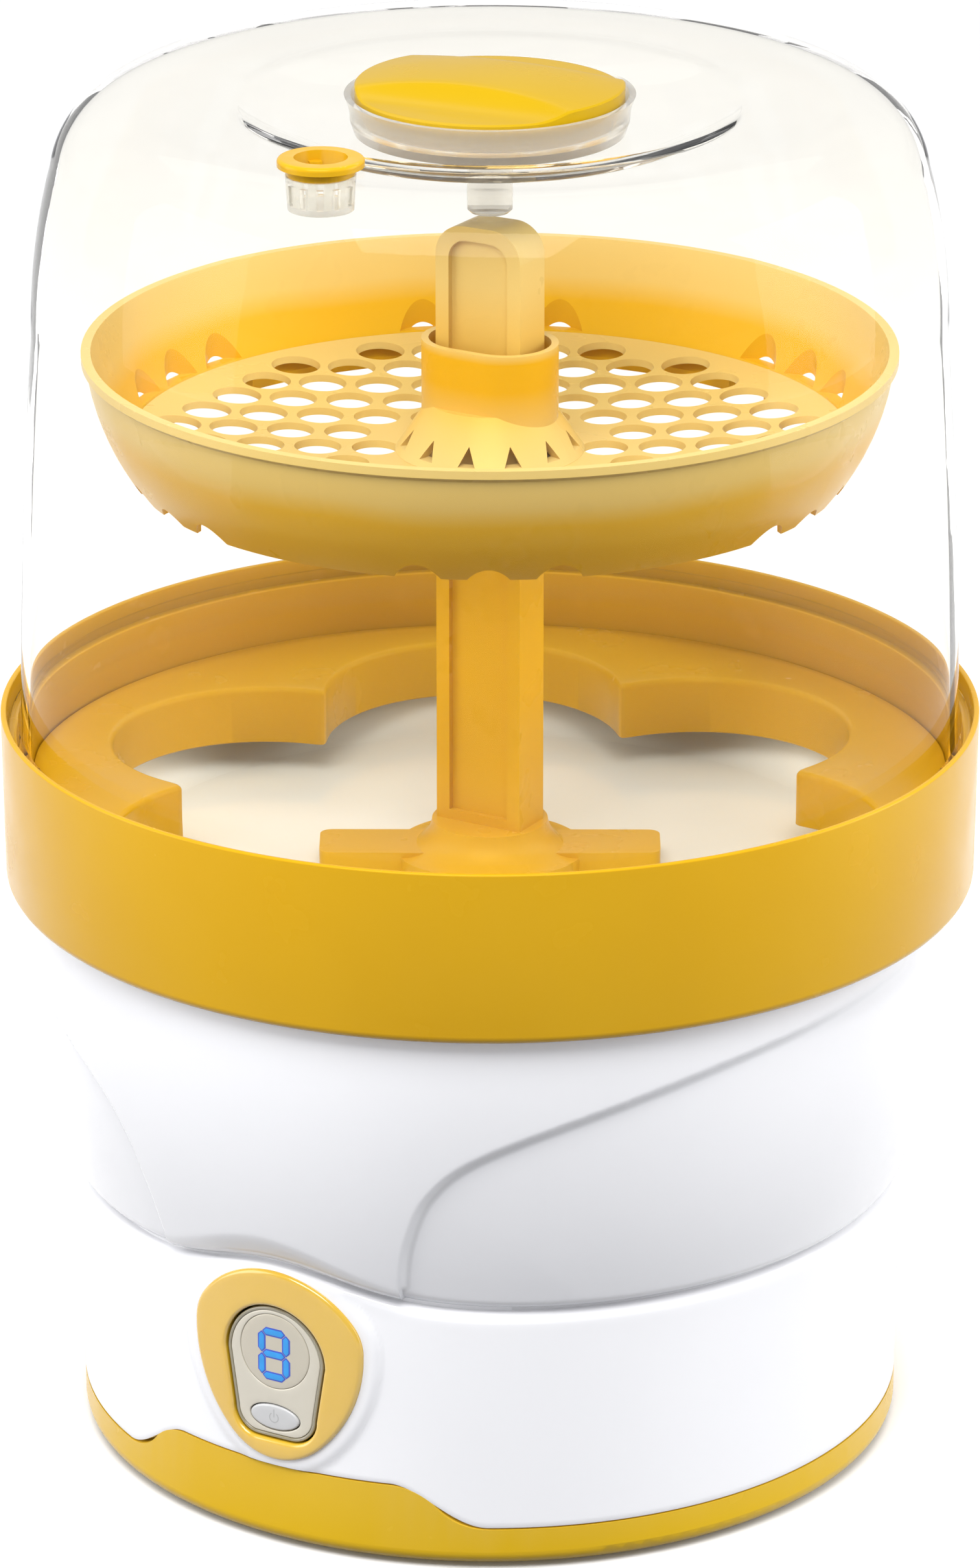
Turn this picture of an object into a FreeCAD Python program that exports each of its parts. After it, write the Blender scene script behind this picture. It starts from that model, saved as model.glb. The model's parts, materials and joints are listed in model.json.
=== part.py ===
import FreeCAD, Part
import math
import os
import Sketcher

# Electric steam steriliser for baby bottles, in millimetres.
# +Z is up, the control panel faces -Y, and the origin lies on the table
# under the middle of the round base.

Vector = FreeCAD.Vector
doc = FreeCAD.newDocument("BottleSteriliser")

SIZES = {
    # lower housing and the bottom shell under it
    "housing_radius": 104.6,
    "housing_wall": 2.8,
    "housing_top": 69.1,
    "housing_lip": 2.8,
    "seam_low": 11.3,
    "seam_high": 22.0,
    "seam_flat": 29.7,
    "seam_run": 22.6,
    "seam_gap": 0.3,
    "floor_low": 1.2,
    "floor_thick": 2.5,
    "floor_round": 4.0,
    "tongue_height": 27.0,
    # bowl-shaped upper housing
    "bowl_foot_radius": 101.5,
    "bowl_foot_low": 60.0,
    "bowl_crease": 70.2,
    "bowl_low_radius": 106.6,
    "bowl_low": 73.2,
    "bowl_top_radius": 117.4,
    "bowl_shoulder": 147.0,
    "bowl_curve": 245.0,
    "bowl_wall": 2.5,
    "bowl_rim": 160.0,
    "bowl_rim_inner": 113.0,
    "ledge_inner": 109.2,
    "ledge_top": 156.7,
    "ledge_thick": 2.0,
    # water basin and heater
    "basin_floor": 146.5,
    "basin_wall": 1.5,
    "basin_flat": 95.7,
    "basin_round": 11.7,
    "basin_flange": 112.4,
    "seal_thick": 1.5,
    "plate_radius": 60.0,
    "plate_thick": 3.0,
    "element_ring": 42.0,
    "element_radius": 3.5,
    "element_sweep": 320.0,
    "boss_circle": 111.7,
    "boss_radius": 3.0,
    # control panel
    "bezel_front": 106.6,
    "bezel_pad": 3.4,
    "pad_front": 105.4,
    "window_front": 105.2,
    "lens_height": 53.3,
    "lens_radius": 10.0,
    "lens_front": 105.7,
    "digit_height": 14.1,
    "digit_width": 9.3,
    "digit_stroke": 1.7,
    "digit_front": 105.9,
    "button_height": 35.6,
    "button_long": 14.4,
    "button_short": 7.0,
    "button_front": 105.9,
    "button_back": 99.8,
    "board_front": 91.6,
    "board_thick": 1.6,
    # bottle rack
    "collar_low": 147.0,
    "collar_top": 190.8,
    "collar_low_radius": 122.0,
    "collar_top_radius": 122.6,
    "collar_bore": 118.3,
    "collar_skirt_bore": 118.1,
    "collar_lip_bore": 121.1,
    "collar_step": 184.5,
    "shelf_low": 160.3,
    "shelf_top": 163.5,
    "shelf_bore": 108.5,
    "insert_radius": 117.9,
    "insert_plate_low": 167.4,
    "insert_top": 170.0,
    "lobe_circle": 65.0,
    "lobe_radius": 38.0,
    "lobe_wall": 2.2,
    "lobe_low": 155.0,
    "rack_turn": 4.0,
    "pocket_circle": 90.5,
    "pocket_radius": 5.2,
    # stand in the middle of the rack
    "column_wide": 24.0,
    "column_deep": 12.0,
    "column_top": 315.0,
    "column_corner": 8.0,
    "groove_wide": 16.6,
    "groove_deep": 1.6,
    "foot_low": 146.8,
    "foot_top": 152.8,
    "foot_span": 86.0,
    "foot_wide": 17.0,
    "foot_hub": 20.0,
    "foot_turn": 30.0,
    "lug_wide": 33.0,
    "lug_deep": 5.0,
    "lug_high": 3.0,
    "lug_drop": 7.2,
    # accessory tray
    "tray_rim": 283.5,
    "tray_rim_radius": 100.8,
    "tray_floor": 257.0,
    "tray_foot_bore": 86.6,
    "floor_rise": 3.2,
    "floor_curve": 776.0,
    "floor_edge": 88.6,
    "petal_low": 260.5,
    "scallop_radius": 6.8,
    "scallop_top": 260.0,
    "tray_low": 252.5,
    "tray_low_radius": 88.4,
    "tray_wall": 1.8,
    "hole_pitch": 14.2,
    "hole_radius": 5.4,
    "hole_mouth": 6.4,
    "sleeve_centre": 4.6,
    "sleeve_radius": 13.0,
    "sleeve_wall": 1.8,
    "sleeve_top": 285.0,
    "sleeve_flare": 23.5,
    # clear hood
    "hood_low": 178.0,
    "hood_skirt": 118.0,
    "hood_flange": 120.4,
    "hood_flange_low": 184.8,
    "hood_flange_top": 187.6,
    "hood_neck": 117.4,
    "hood_neck_height": 190.0,
    "hood_side_top": 288.0,
    "hood_side_radius": 112.9,
    "hood_wall": 2.2,
    "bend_radius": 107.5,
    "bend_height": 330.0,
    "crown_height": 348.4,
    "crown_radius": 86.0,
    "dish_radius": 61.5,
    "dish_height": 346.6,
    "dish_floor": 338.3,
    "dish_floor_radius": 38.0,
    # knob, its cup and the steam vent
    "knob_radius": 33.0,
    "knob_rim": 348.2,
    "knob_top": 353.2,
    "knob_low": 341.0,
    "knob_turn": 5.6,
    "grip_half": 12.5,
    "scoop_radius": 17.2,
    "cup_radius": 35.6,
    "cup_waist": 34.2,
    "stem_radius": 5.6,
    "stem_low": 318.0,
    "vent_circle": 79.0,
    "vent_flange": 10.4,
    "vent_bore": 6.4,
    "vent_hole": 8.9,
    "cage_radius": 8.4,
    # back and bottom hardware
    "foot_circle": 87.7,
    "foot_pad": 9.0,
    "screw_circle": 94.0,
    "inlet_height": 38.0,
    "inlet_bore": 3.3,
    "screw_bore": 1.55,
    "screw_way": 1.7,
    "shank_radius": 1.5,
    "block_deep": 12.0,
    "block_high": 14.0,
    "clamp_reach": 88.0,
    "lead_radius": 1.1,
}

sheet = doc.addObject("Spreadsheet::Sheet", "Size")
for row, (alias, value) in enumerate(SIZES.items(), 1):
    sheet.set("A%d" % row, alias)
    sheet.set("B%d" % row, str(value))
    sheet.setAlias("B%d" % row, alias)
doc.recompute()

NODES = []


def number(expression):
    """The value of an expression on the size sheet."""
    return float(sheet.evalExpression(str(expression)))


def node(item, label):
    """Keep an object as a sub-part under the name of its file."""
    item.Label = label
    NODES.append(item)
    return item


# ---------------------------------------------------------------- sketches

def origin_plane(body, role):
    return next(f for f in body.Origin.OriginFeatures if f.Role == role)


def new_sketch(body, role, name, offset="0"):
    sketch = body.newObject("Sketcher::SketchObject", name)
    sketch.AttachmentSupport = (origin_plane(body, role), [""])
    sketch.MapMode = "FlatFace"
    sketch.setExpression("AttachmentOffset.Base.z", offset)
    return sketch


def fix_value(sketch, constraint, expression):
    index = sketch.addConstraint(constraint)
    sketch.setExpression("Constraints[%d]" % index, str(expression))


def add_arc(sketch, start, end, radius):
    """An arc that turns left for a positive radius and right for a negative one."""
    chord = end - start
    middle = (start + end) / 2
    reach = math.sqrt(max(radius ** 2 - (chord.Length / 2) ** 2, 0.0))
    side = Vector(-chord.y, chord.x, 0).normalize() * math.copysign(reach, radius)
    centre = middle + side
    first, last = (start, end) if radius > 0 else (end, start)
    low = math.atan2(first.y - centre.y, first.x - centre.x)
    high = math.atan2(last.y - centre.y, last.x - centre.x)
    if high <= low:
        high += 2 * math.pi
    circle = Part.Circle(centre, Vector(0, 0, 1), abs(radius))
    return sketch.addGeometry(Part.ArcOfCircle(circle, low, high), False)


def closed_outline(sketch, corners):
    """A closed loop: each corner is (x, y), or (x, y, radius of the arc to the next)."""
    places = [Vector(number(c[0]), number(c[1]), 0) for c in corners]
    ends = []
    for index, corner in enumerate(corners):
        start = places[index]
        end = places[(index + 1) % len(places)]
        if len(corner) == 2:
            edge = sketch.addGeometry(Part.LineSegment(start, end), False)
            ends.append((edge, 1, 2))
            continue
        radius = number(corner[2])
        edge = add_arc(sketch, start, end, radius)
        ends.append((edge, 1, 2) if radius > 0 else (edge, 2, 1))
        size = corner[2] if radius > 0 else "-(%s)" % corner[2]
        if (end - start).Length < 2 * abs(radius) - 1e-6:
            fix_value(sketch, Sketcher.Constraint("Radius", edge, abs(radius)), size)
        elif abs(end.y - start.y) < 1e-6:
            level = Sketcher.Constraint("DistanceY", -1, 1, edge, 3, start.y)
            fix_value(sketch, level, corner[1])
        else:
            level = Sketcher.Constraint("DistanceX", -1, 1, edge, 3, start.x)
            fix_value(sketch, level, corner[0])
    for index, (edge, first, last) in enumerate(ends):
        following = ends[(index + 1) % len(ends)]
        sketch.addConstraint(
            Sketcher.Constraint("Coincident", edge, last, following[0], following[1]))
    for (edge, first, last), corner, place in zip(ends, corners, places):
        across = Sketcher.Constraint("DistanceX", -1, 1, edge, first, place.x)
        upward = Sketcher.Constraint("DistanceY", -1, 1, edge, first, place.y)
        fix_value(sketch, across, corner[0])
        fix_value(sketch, upward, corner[1])


def turned(label, corners):
    """A body of revolution about Z from a half section (radius, height)."""
    body = doc.addObject("PartDesign::Body", label)
    sketch = new_sketch(body, "XZ_Plane", label + "_section")
    closed_outline(sketch, corners)
    feature = body.newObject("PartDesign::Revolution", label + "_turn")
    feature.Profile = sketch
    feature.ReferenceAxis = (sketch, ["V_Axis"])
    feature.Angle = 360
    sketch.Visibility = False
    return body


def prism(label, corners, length, offset="0", role="XY_Plane"):
    """A pad of a closed outline: up from XY, or towards -Y from XZ."""
    body = doc.addObject("PartDesign::Body", label)
    sketch = new_sketch(body, role, label + "_outline", offset)
    closed_outline(sketch, corners)
    feature = body.newObject("PartDesign::Pad", label + "_pad")
    feature.Profile = sketch
    feature.setExpression("Length", str(length))
    return body


# -------------------------------------------------------------- primitives

def place(item, x="0", y="0", z="0"):
    for axis, expression in zip("xyz", (x, y, z)):
        item.setExpression("Placement.Base." + axis, str(expression))
    return item


def cylinder(label, radius, height, x="0", y="0", z="0", axis=None):
    item = doc.addObject("Part::Cylinder", label)
    item.setExpression("Radius", str(radius))
    item.setExpression("Height", str(height))
    if axis is not None:
        item.Placement.Rotation = FreeCAD.Rotation(Vector(0, 0, 1), axis)
    return place(item, x, y, z)


def box(label, wide, deep, high, x, y, z):
    """A box centred on x and y, standing on z."""
    item = doc.addObject("Part::Box", label)
    item.setExpression("Length", str(wide))
    item.setExpression("Width", str(deep))
    item.setExpression("Height", str(high))
    return place(item, "%s - (%s)/2" % (x, wide), "%s - (%s)/2" % (y, deep), z)


def cone(label, low_radius, top_radius, height, z):
    item = doc.addObject("Part::Cone", label)
    item.setExpression("Radius1", str(low_radius))
    item.setExpression("Radius2", str(top_radius))
    item.setExpression("Height", str(height))
    return place(item, z=z)


def fuse(label, items):
    item = doc.addObject("Part::MultiFuse", label)
    item.Shapes = items
    return item


def group(label, items):
    """Separate equal solids kept together, such as a set of screws."""
    item = doc.addObject("Part::Compound", label)
    item.Links = items
    return item


def cut(label, base, *tools):
    item = doc.addObject("Part::Cut", label)
    item.Base = base
    item.Tool = tools[0] if len(tools) == 1 else fuse(label + "_tools", list(tools))
    return item


def common(label, *items):
    item = doc.addObject("Part::MultiCommon", label)
    item.Shapes = list(items)
    return item


def turn(item, degrees):
    item.setExpression("Placement.Rotation.Angle", str(degrees))
    item.Placement.Rotation = FreeCAD.Rotation(Vector(0, 0, 1), number(degrees))
    return item


def screw(label, x, y, z, shank, up=1):
    """A pan-head screw whose head stands on z and whose shank runs up or down."""
    way = Vector(0, 0, up)
    head = cylinder(label + "_head", "2.8", "2.2", x, y, z, axis=way)
    start = "%s + %s" % (z, 2.2 * up)
    body = cylinder(label + "_shank", "Size.shank_radius", shank, x, y, start, axis=way)
    return fuse(label, [head, body])


def around(radius, degrees):
    """The x and y expressions of a place on a circle."""
    return "%s*cos(%s)" % (radius, degrees), "%s*sin(%s)" % (radius, degrees)


# ------------------------------------------------------- outlines on the front

def shell(label, inner, outer, low="15", high="90"):
    """A plain ring of wall, used to bend a front outline round the housing."""
    return turned(label, [(inner, low), (outer, low), (outer, high), (inner, high)])


def bezel_prism(label, margin):
    """The rounded-triangle outline of the bezel, grown by a margin, as a prism."""
    side_joint = ("24 + %s" % margin, "56")
    corners = [
        ("-(12.4 + 0.67*%s)" % margin, "29.2 - 0.74*%s" % margin, "18.4 + %s" % margin),
        ("12.4 + 0.67*%s" % margin, "29.2 - 0.74*%s" % margin, "35.6 + %s" % margin),
        side_joint + ("13 + %s" % margin,),
        ("21.4 + 0.8*%s" % margin, "64.3 + 0.6*%s" % margin, "26.75 + %s" % margin),
        ("-(21.4 + 0.8*%s)" % margin, "64.3 + 0.6*%s" % margin, "13 + %s" % margin),
        ("-(%s)" % side_joint[0], "56", "35.6 + %s" % margin),
    ]
    return prism(label, corners, "20", offset="95", role="XZ_Plane")


def window_prism(label, margin):
    """The pill outline of the display window, grown by a margin."""
    wide = "(13.9 + %s)" % margin
    low = "(11.6 + %s)" % margin
    corners = [
        ("-5", "30 - %s" % margin),
        ("5", "30 - %s" % margin, "6.75 + %s" % margin),
        (low, "36.8"),
        (wide, "51.6", wide),
        ("-" + wide, "51.6"),
        ("-" + low, "36.8", "6.75 + %s" % margin),
    ]
    return prism(label, corners, "20", offset="95", role="XZ_Plane")


def oval_prism(label, margin, offset, length):
    """The oval of the power button, made of two short and two long arcs."""
    half = "(Size.button_long/2 + %s)" % margin
    flat = "(Size.button_short/2 + %s)" % margin
    reach = "(%s - 2.2)" % half
    rise = "(%s - 1)" % flat
    long_arc = "(%s^2 + 1)/2" % reach
    short_arc = "(%s^2 + 2.2^2)/4.4" % rise
    corners = [
        ("-" + reach, "Size.button_height - " + rise, long_arc),
        (reach, "Size.button_height - " + rise, short_arc),
        (reach, "Size.button_height + " + rise, long_arc),
        ("-" + reach, "Size.button_height + " + rise, short_arc),
    ]
    return prism(label, corners, length, offset=offset, role="XZ_Plane")


def below_seam(label, gap):
    """Everything under the wavy seam: high along the front, low elsewhere."""
    high = "Size.seam_high + %s" % gap
    low = "Size.seam_low + %s" % gap
    rise = "(Size.seam_high - Size.seam_low)"
    bend = "(Size.seam_run^2 + %s^2)/(4*%s)" % (rise, rise)
    middle = "(Size.seam_high + Size.seam_low)/2 + %s" % gap
    near = "Size.seam_flat"
    half = "Size.seam_flat + Size.seam_run/2"
    far = "Size.seam_flat + Size.seam_run"
    corners = [
        ("-130", "-5"),
        ("130", "-5"),
        ("130", low),
        (far, low, "-(%s)" % bend),
        (half, middle, bend),
        (near, high),
        ("-(%s)" % near, high, bend),
        ("-(%s)" % half, middle, "-(%s)" % bend),
        ("-(%s)" % far, low),
        ("-130", low),
    ]
    front = prism(label + "_front", corners, "130", role="XZ_Plane")
    back = box(label + "_back", "260", "130", "5 + " + low, "0", "65", "-5")
    return fuse(label, [front, back])


# ------------------------------------------------------------------- base

def make_feet():
    places = {"front_left": 225, "front_right": 315, "rear_right": 45, "rear_left": 135}
    for name, degrees in places.items():
        label = "foot_" + name
        corners = [
            ("0", "0"),
            ("Size.foot_pad - 0.6", "0", "0.6"),
            ("Size.foot_pad", "0.6"),
            ("Size.foot_pad", "Size.floor_low"),
            ("2.8", "Size.floor_low"),
            ("2.8", "Size.floor_low + Size.floor_thick"),
            ("4.2", "Size.floor_low + Size.floor_thick"),
            ("3.4", "Size.floor_low + Size.floor_thick + 1.6"),
            ("0", "Size.floor_low + Size.floor_thick + 1.6"),
        ]
        place(turned(label, corners), *around("Size.foot_circle", degrees))
        node(doc.getObject(label), label)
    return [around("Size.foot_circle", degrees) for degrees in places.values()]


def make_bottom_shell(foot_places, screw_places):
    inner = "(Size.housing_radius - Size.housing_wall + 0.4)"
    top = "(Size.floor_low + Size.floor_thick)"
    wall = turned("bottom_wall", [
        ("0", "Size.floor_low"),
        ("Size.housing_radius - Size.floor_round", "Size.floor_low", "Size.floor_round"),
        ("Size.housing_radius", "Size.floor_low + Size.floor_round"),
        ("Size.housing_radius", "Size.seam_high + 4"),
        (inner, "Size.seam_high + 4"),
        (inner, top),
        ("0", top),
    ])
    trimmed = common("bottom_trimmed", wall, below_seam("seam_under", "0"))
    tongue = turned("bottom_tongue", [
        ("99.4", "Size.floor_low + 1"),
        (inner + " + 0.2", "Size.floor_low + 1"),
        (inner + " + 0.2", "Size.seam_low - 2"),
        ("101.5", "Size.seam_low - 1"),
        ("101.5", "Size.tongue_height"),
        ("99.4", "Size.tongue_height"),
    ])
    pads = [cylinder("floor_pad_%d" % i, "6", "3", x, y, "Size.floor_low + 1")
            for i, (x, y) in enumerate(screw_places)]
    pillar = box("clamp_pillar", "28", "8", "Size.inlet_height - 4.4", "0", "Size.clamp_reach", "3")
    blank = fuse("bottom_blank", [trimmed, tongue, pillar] + pads)
    tools = [cylinder("foot_hole_%d" % i, "2.9", "6", x, y, "0")
             for i, (x, y) in enumerate(foot_places)]
    for i, (x, y) in enumerate(screw_places):
        tools.append(cylinder("screw_well_%d" % i, "3.5", "2.8", x, y, "0"))
        tools.append(cylinder("screw_way_%d" % i, "Size.screw_way", "8", x, y, "0"))
    tools.append(cylinder("pillar_groove", "Size.inlet_bore", "14", "0", "81",
                          "Size.inlet_height", axis=Vector(0, 1, 0)))
    for side in (-10, 10):
        tools.append(cylinder("pillar_hole_%d" % side, "Size.screw_bore", "22", side, "Size.clamp_reach", "20"))
    node(cut("bottom_shell", blank, *tools), "bottom_shell")


def make_lower_housing(screw_places):
    bore = "(Size.housing_radius - Size.housing_wall)"
    wall = turned("housing_wall_ring", [
        (bore, "5"),
        ("Size.housing_radius", "5"),
        ("Size.housing_radius", "Size.housing_top - Size.housing_lip", "Size.housing_lip"),
        (bore, "Size.housing_top"),
    ])
    pad = common("bezel_pad", bezel_prism("pad_outline", "Size.bezel_pad"),
                 shell("pad_ring", bore, "Size.pad_front"))
    ribs = []
    for index, (x, y) in enumerate(screw_places):
        ribs.append(cylinder("post_%d" % index, "4", "38", x, y, "6"))
        rib = box("rib_%d" % index, "11", "3", "14", "0", "0", "30")
        degrees = round(math.degrees(math.atan2(number(y), number(x))), 6)
        middle = around("(Size.screw_circle + 3.5)", degrees)
        rotate_about_own_middle(rib, degrees, "11", "3", middle, "30")
        ribs.append(rib)
    blank = fuse("housing_blank", [wall, pad] + ribs)
    tools = [below_seam("seam_over", "Size.seam_gap"),
             bezel_prism("bezel_way", "0.15"),
             cylinder("inlet_way", "6.2", "20", "0", "95", "Size.inlet_height",
                      axis=Vector(0, 1, 0))]
    posts = fuse("posts_kept", [cylinder("post_keep_%d" % i, "4.2", "40", x, y, "5.9")
                                for i, (x, y) in enumerate(screw_places)])
    tools[0] = cut("seam_over_walls", tools[0], posts)
    for index, (x, y) in enumerate(screw_places):
        tools.append(cylinder("post_hole_%d" % index, "Size.screw_bore", "22", x, y, "5"))
    node(cut("lower_housing", blank, *tools), "lower_housing")


def make_upper_housing(boss_places):
    curve = "Size.bowl_curve"
    inner = "(Size.bowl_top_radius - Size.bowl_wall)"
    bowl = turned("bowl_shell", [
        ("Size.bowl_foot_radius - 2.2", "Size.bowl_foot_low"),
        ("Size.bowl_foot_radius", "Size.bowl_foot_low"),
        ("Size.bowl_foot_radius", "Size.bowl_crease"),
        ("Size.bowl_low_radius - 2.4", "Size.bowl_crease", "3.1"),
        ("Size.bowl_low_radius", "Size.bowl_low", curve),
        ("Size.bowl_top_radius", "Size.bowl_shoulder"),
        ("Size.bowl_top_radius", "Size.bowl_rim"),
        ("Size.bowl_rim_inner", "Size.bowl_rim"),
        ("Size.bowl_rim_inner", "Size.ledge_top"),
        ("Size.ledge_inner", "Size.ledge_top"),
        ("Size.ledge_inner", "Size.ledge_top - Size.ledge_thick"),
        (inner, "Size.ledge_top - Size.ledge_thick"),
        (inner, "Size.bowl_shoulder", "-(Size.bowl_curve - Size.bowl_wall)"),
        ("Size.bowl_low_radius - Size.bowl_wall", "Size.bowl_low + 1"),
        ("Size.bowl_foot_radius - 2.2", "Size.bowl_crease + 1.6"),
    ])
    bosses = []
    tools = [bezel_prism("pad_way", "Size.bezel_pad + 0.3")]
    for index, (x, y) in enumerate(boss_places):
        bosses.append(cylinder("strap_boss_%d" % index, "Size.boss_radius", "13.5", x, y, "142"))
        tools.append(cylinder("strap_hole_%d" % index, "Size.screw_bore", "11", x, y, "141"))
    blank = fuse("bowl_blank", [bowl] + bosses)
    node(cut("upper_housing", blank, *tools), "upper_housing")


def make_basin():
    wall = "Size.basin_wall"
    outer = "Size.basin_round + " + wall
    rim = "Size.ledge_top + Size.seal_thick"
    edge = "Size.basin_flat + Size.basin_round"
    node(turned("heater_basin", [
        ("0", "Size.basin_floor - " + wall),
        ("Size.basin_flat", "Size.basin_floor - " + wall, outer),
        (edge + " + " + wall, rim),
        ("Size.basin_flange", rim),
        ("Size.basin_flange", rim + " + " + wall),
        (edge, rim + " + " + wall),
        (edge, rim, "-(Size.basin_round)"),
        ("Size.basin_flat", "Size.basin_floor"),
        ("0", "Size.basin_floor"),
    ]), "heater_basin")
    node(turned("basin_seal", [
        ("Size.ledge_inner + 0.3", "Size.ledge_top"),
        ("Size.basin_flange", "Size.ledge_top"),
        ("Size.basin_flange", rim),
        ("Size.ledge_inner + 0.3", rim),
    ]), "basin_seal")


def make_heater(boss_places):
    plate_low = "(Size.basin_floor - Size.basin_wall - Size.plate_thick)"
    node(cylinder("heating_plate", "Size.plate_radius", "Size.plate_thick", z=plate_low),
         "heating_plate")
    element = doc.addObject("Part::Torus", "heating_element")
    element.setExpression("Radius1", "Size.element_ring")
    element.setExpression("Radius2", "Size.element_radius")
    element.setExpression("Angle3", "Size.element_sweep")
    place(element, z=plate_low + " - Size.element_radius - 0.05")
    turn(element, "90 + (360 - Size.element_sweep)/2")
    node(element, "heating_element")
    pins = []
    for index, side in enumerate((-1, 1)):
        reach = "90 + %d*(180 - Size.element_sweep/2)" % side
        x, y = around("Size.element_ring", reach)
        x = "%s + %s" % (x, around("2.2", reach + " - %d" % (90 * side))[0])
        y = "%s + %s" % (y, around("2.2", reach + " - %d" % (90 * side))[1])
        pins.append(cylinder("pin_%d" % index, "2.1", "20", x, y, plate_low + " - 22"))
    node(group("element_pins", pins), "element_pins")
    node(cylinder("thermostat", "8", "9", z=plate_low + " - 9"), "thermostat")
    fuse_body = cylinder("thermal_fuse", "2", "13", "17", "-6.5", plate_low + " - 2.05",
                         axis=Vector(0, 1, 0))
    node(fuse_body, "thermal_fuse")
    screws = []
    for index, (x, y) in enumerate(boss_places):
        degrees = number("90 + %d*120" % index)
        strap = box("strap_bar_%d" % index, "62", "12", "2", "0", "0", "0")
        middle = around("(Size.boss_circle - 29)", str(degrees))
        place(strap, middle[0], middle[1], plate_low + " - 2")
        rotate_about_own_middle(strap, degrees, "62", "12", middle, plate_low + " - 2")
        hole = cylinder("strap_bore_%d" % index, "Size.screw_way", "6", x, y, plate_low + " - 4")
        node(cut("plate_strap_%d" % (index + 1), strap, hole), "plate_strap_%d" % (index + 1))
        screws.append(screw("strap_screw_%d" % index, x, y, plate_low + " - 4.2", "8"))
    node(group("strap_screws", screws), "strap_screws")


def rotate_about_own_middle(item, degrees, wide, deep, middle, z):
    """Turn a box about the vertical line through its own middle."""
    half_wide = "(%s)/2" % wide
    half_deep = "(%s)/2" % deep
    cosine, sine = "cos(%s)" % degrees, "sin(%s)" % degrees
    item.Placement.Rotation = FreeCAD.Rotation(Vector(0, 0, 1), degrees)
    x = "%s - %s*%s + %s*%s" % (middle[0], half_wide, cosine, half_deep, sine)
    y = "%s - %s*%s - %s*%s" % (middle[1], half_wide, sine, half_deep, cosine)
    place(item, x, y, z)


# --------------------------------------------------------- control panel

def make_control_panel():
    ring = shell("bezel_ring", "102.2", "Size.bezel_front")
    blank = common("bezel_blank", bezel_prism("bezel_outline", "0"), ring)
    node(cut("panel_bezel", blank, window_prism("bezel_window", "0")), "panel_bezel")
    lens_way = cylinder("lens_way", "Size.lens_radius", "30", "0", "-90",
                        "Size.lens_height", axis=Vector(0, -1, 0))
    panel = common("window_blank", window_prism("window_outline", "-0.15"),
                   shell("window_ring", "103.2", "Size.window_front"))
    node(cut("window_panel", panel, lens_way, oval_prism("button_way", "0", "90", "30")),
         "window_panel")
    lens = cylinder("lens_rod", "Size.lens_radius - 0.1", "30", "0", "-90",
                    "Size.lens_height", axis=Vector(0, -1, 0))
    node(common("display_lens", lens, shell("lens_ring", "103.2", "Size.lens_front")),
         "display_lens")
    make_digit()
    button = common("button_blank", oval_prism("button_outline", "-0.25", "90", "30"),
                    shell("button_ring", "Size.button_back", "Size.button_front"))
    node(button, "power_button")


def make_digit():
    """Seven bars of the display digit, each a six-sided strip."""
    half = "(Size.digit_width/2 - Size.digit_stroke/2)"
    step = "(Size.digit_height/2 - Size.digit_stroke/2)"
    thick = "(Size.digit_stroke/2)"
    bars = []
    for index, level in enumerate((-1, 0, 1)):
        height = "(Size.lens_height - 0.8 + %d*%s)" % (level, step)
        bars.append(prism("bar_flat_%d" % index, [
            ("-(%s - 0.3)" % half, height),
            ("-(%s - 0.3 - %s)" % (half, thick), "%s - %s" % (height, thick)),
            ("%s - 0.3 - %s" % (half, thick), "%s - %s" % (height, thick)),
            ("%s - 0.3" % half, height),
            ("%s - 0.3 - %s" % (half, thick), "%s + %s" % (height, thick)),
            ("-(%s - 0.3 - %s)" % (half, thick), "%s + %s" % (height, thick)),
        ], "20", offset="95", role="XZ_Plane"))
    for index, (side, level) in enumerate(((-1, -1), (1, -1), (-1, 1), (1, 1))):
        x = "(%d*%s)" % (side, half)
        middle = "(Size.lens_height - 0.8 + %d*%s/2)" % (level, step)
        reach = "(%s/2 - 0.3)" % step
        bars.append(prism("bar_tall_%d" % index, [
            (x, "%s - %s" % (middle, reach)),
            ("%s + %s" % (x, thick), "%s - %s + %s" % (middle, reach, thick)),
            ("%s + %s" % (x, thick), "%s + %s - %s" % (middle, reach, thick)),
            (x, "%s + %s" % (middle, reach)),
            ("%s - %s" % (x, thick), "%s + %s - %s" % (middle, reach, thick)),
            ("%s - %s" % (x, thick), "%s - %s + %s" % (middle, reach, thick)),
        ], "20", offset="95", role="XZ_Plane"))
    ring = shell("digit_ring", "Size.lens_front", "Size.digit_front")
    node(common("display_digit", fuse("digit_bars", bars), ring), "display_digit")


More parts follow.
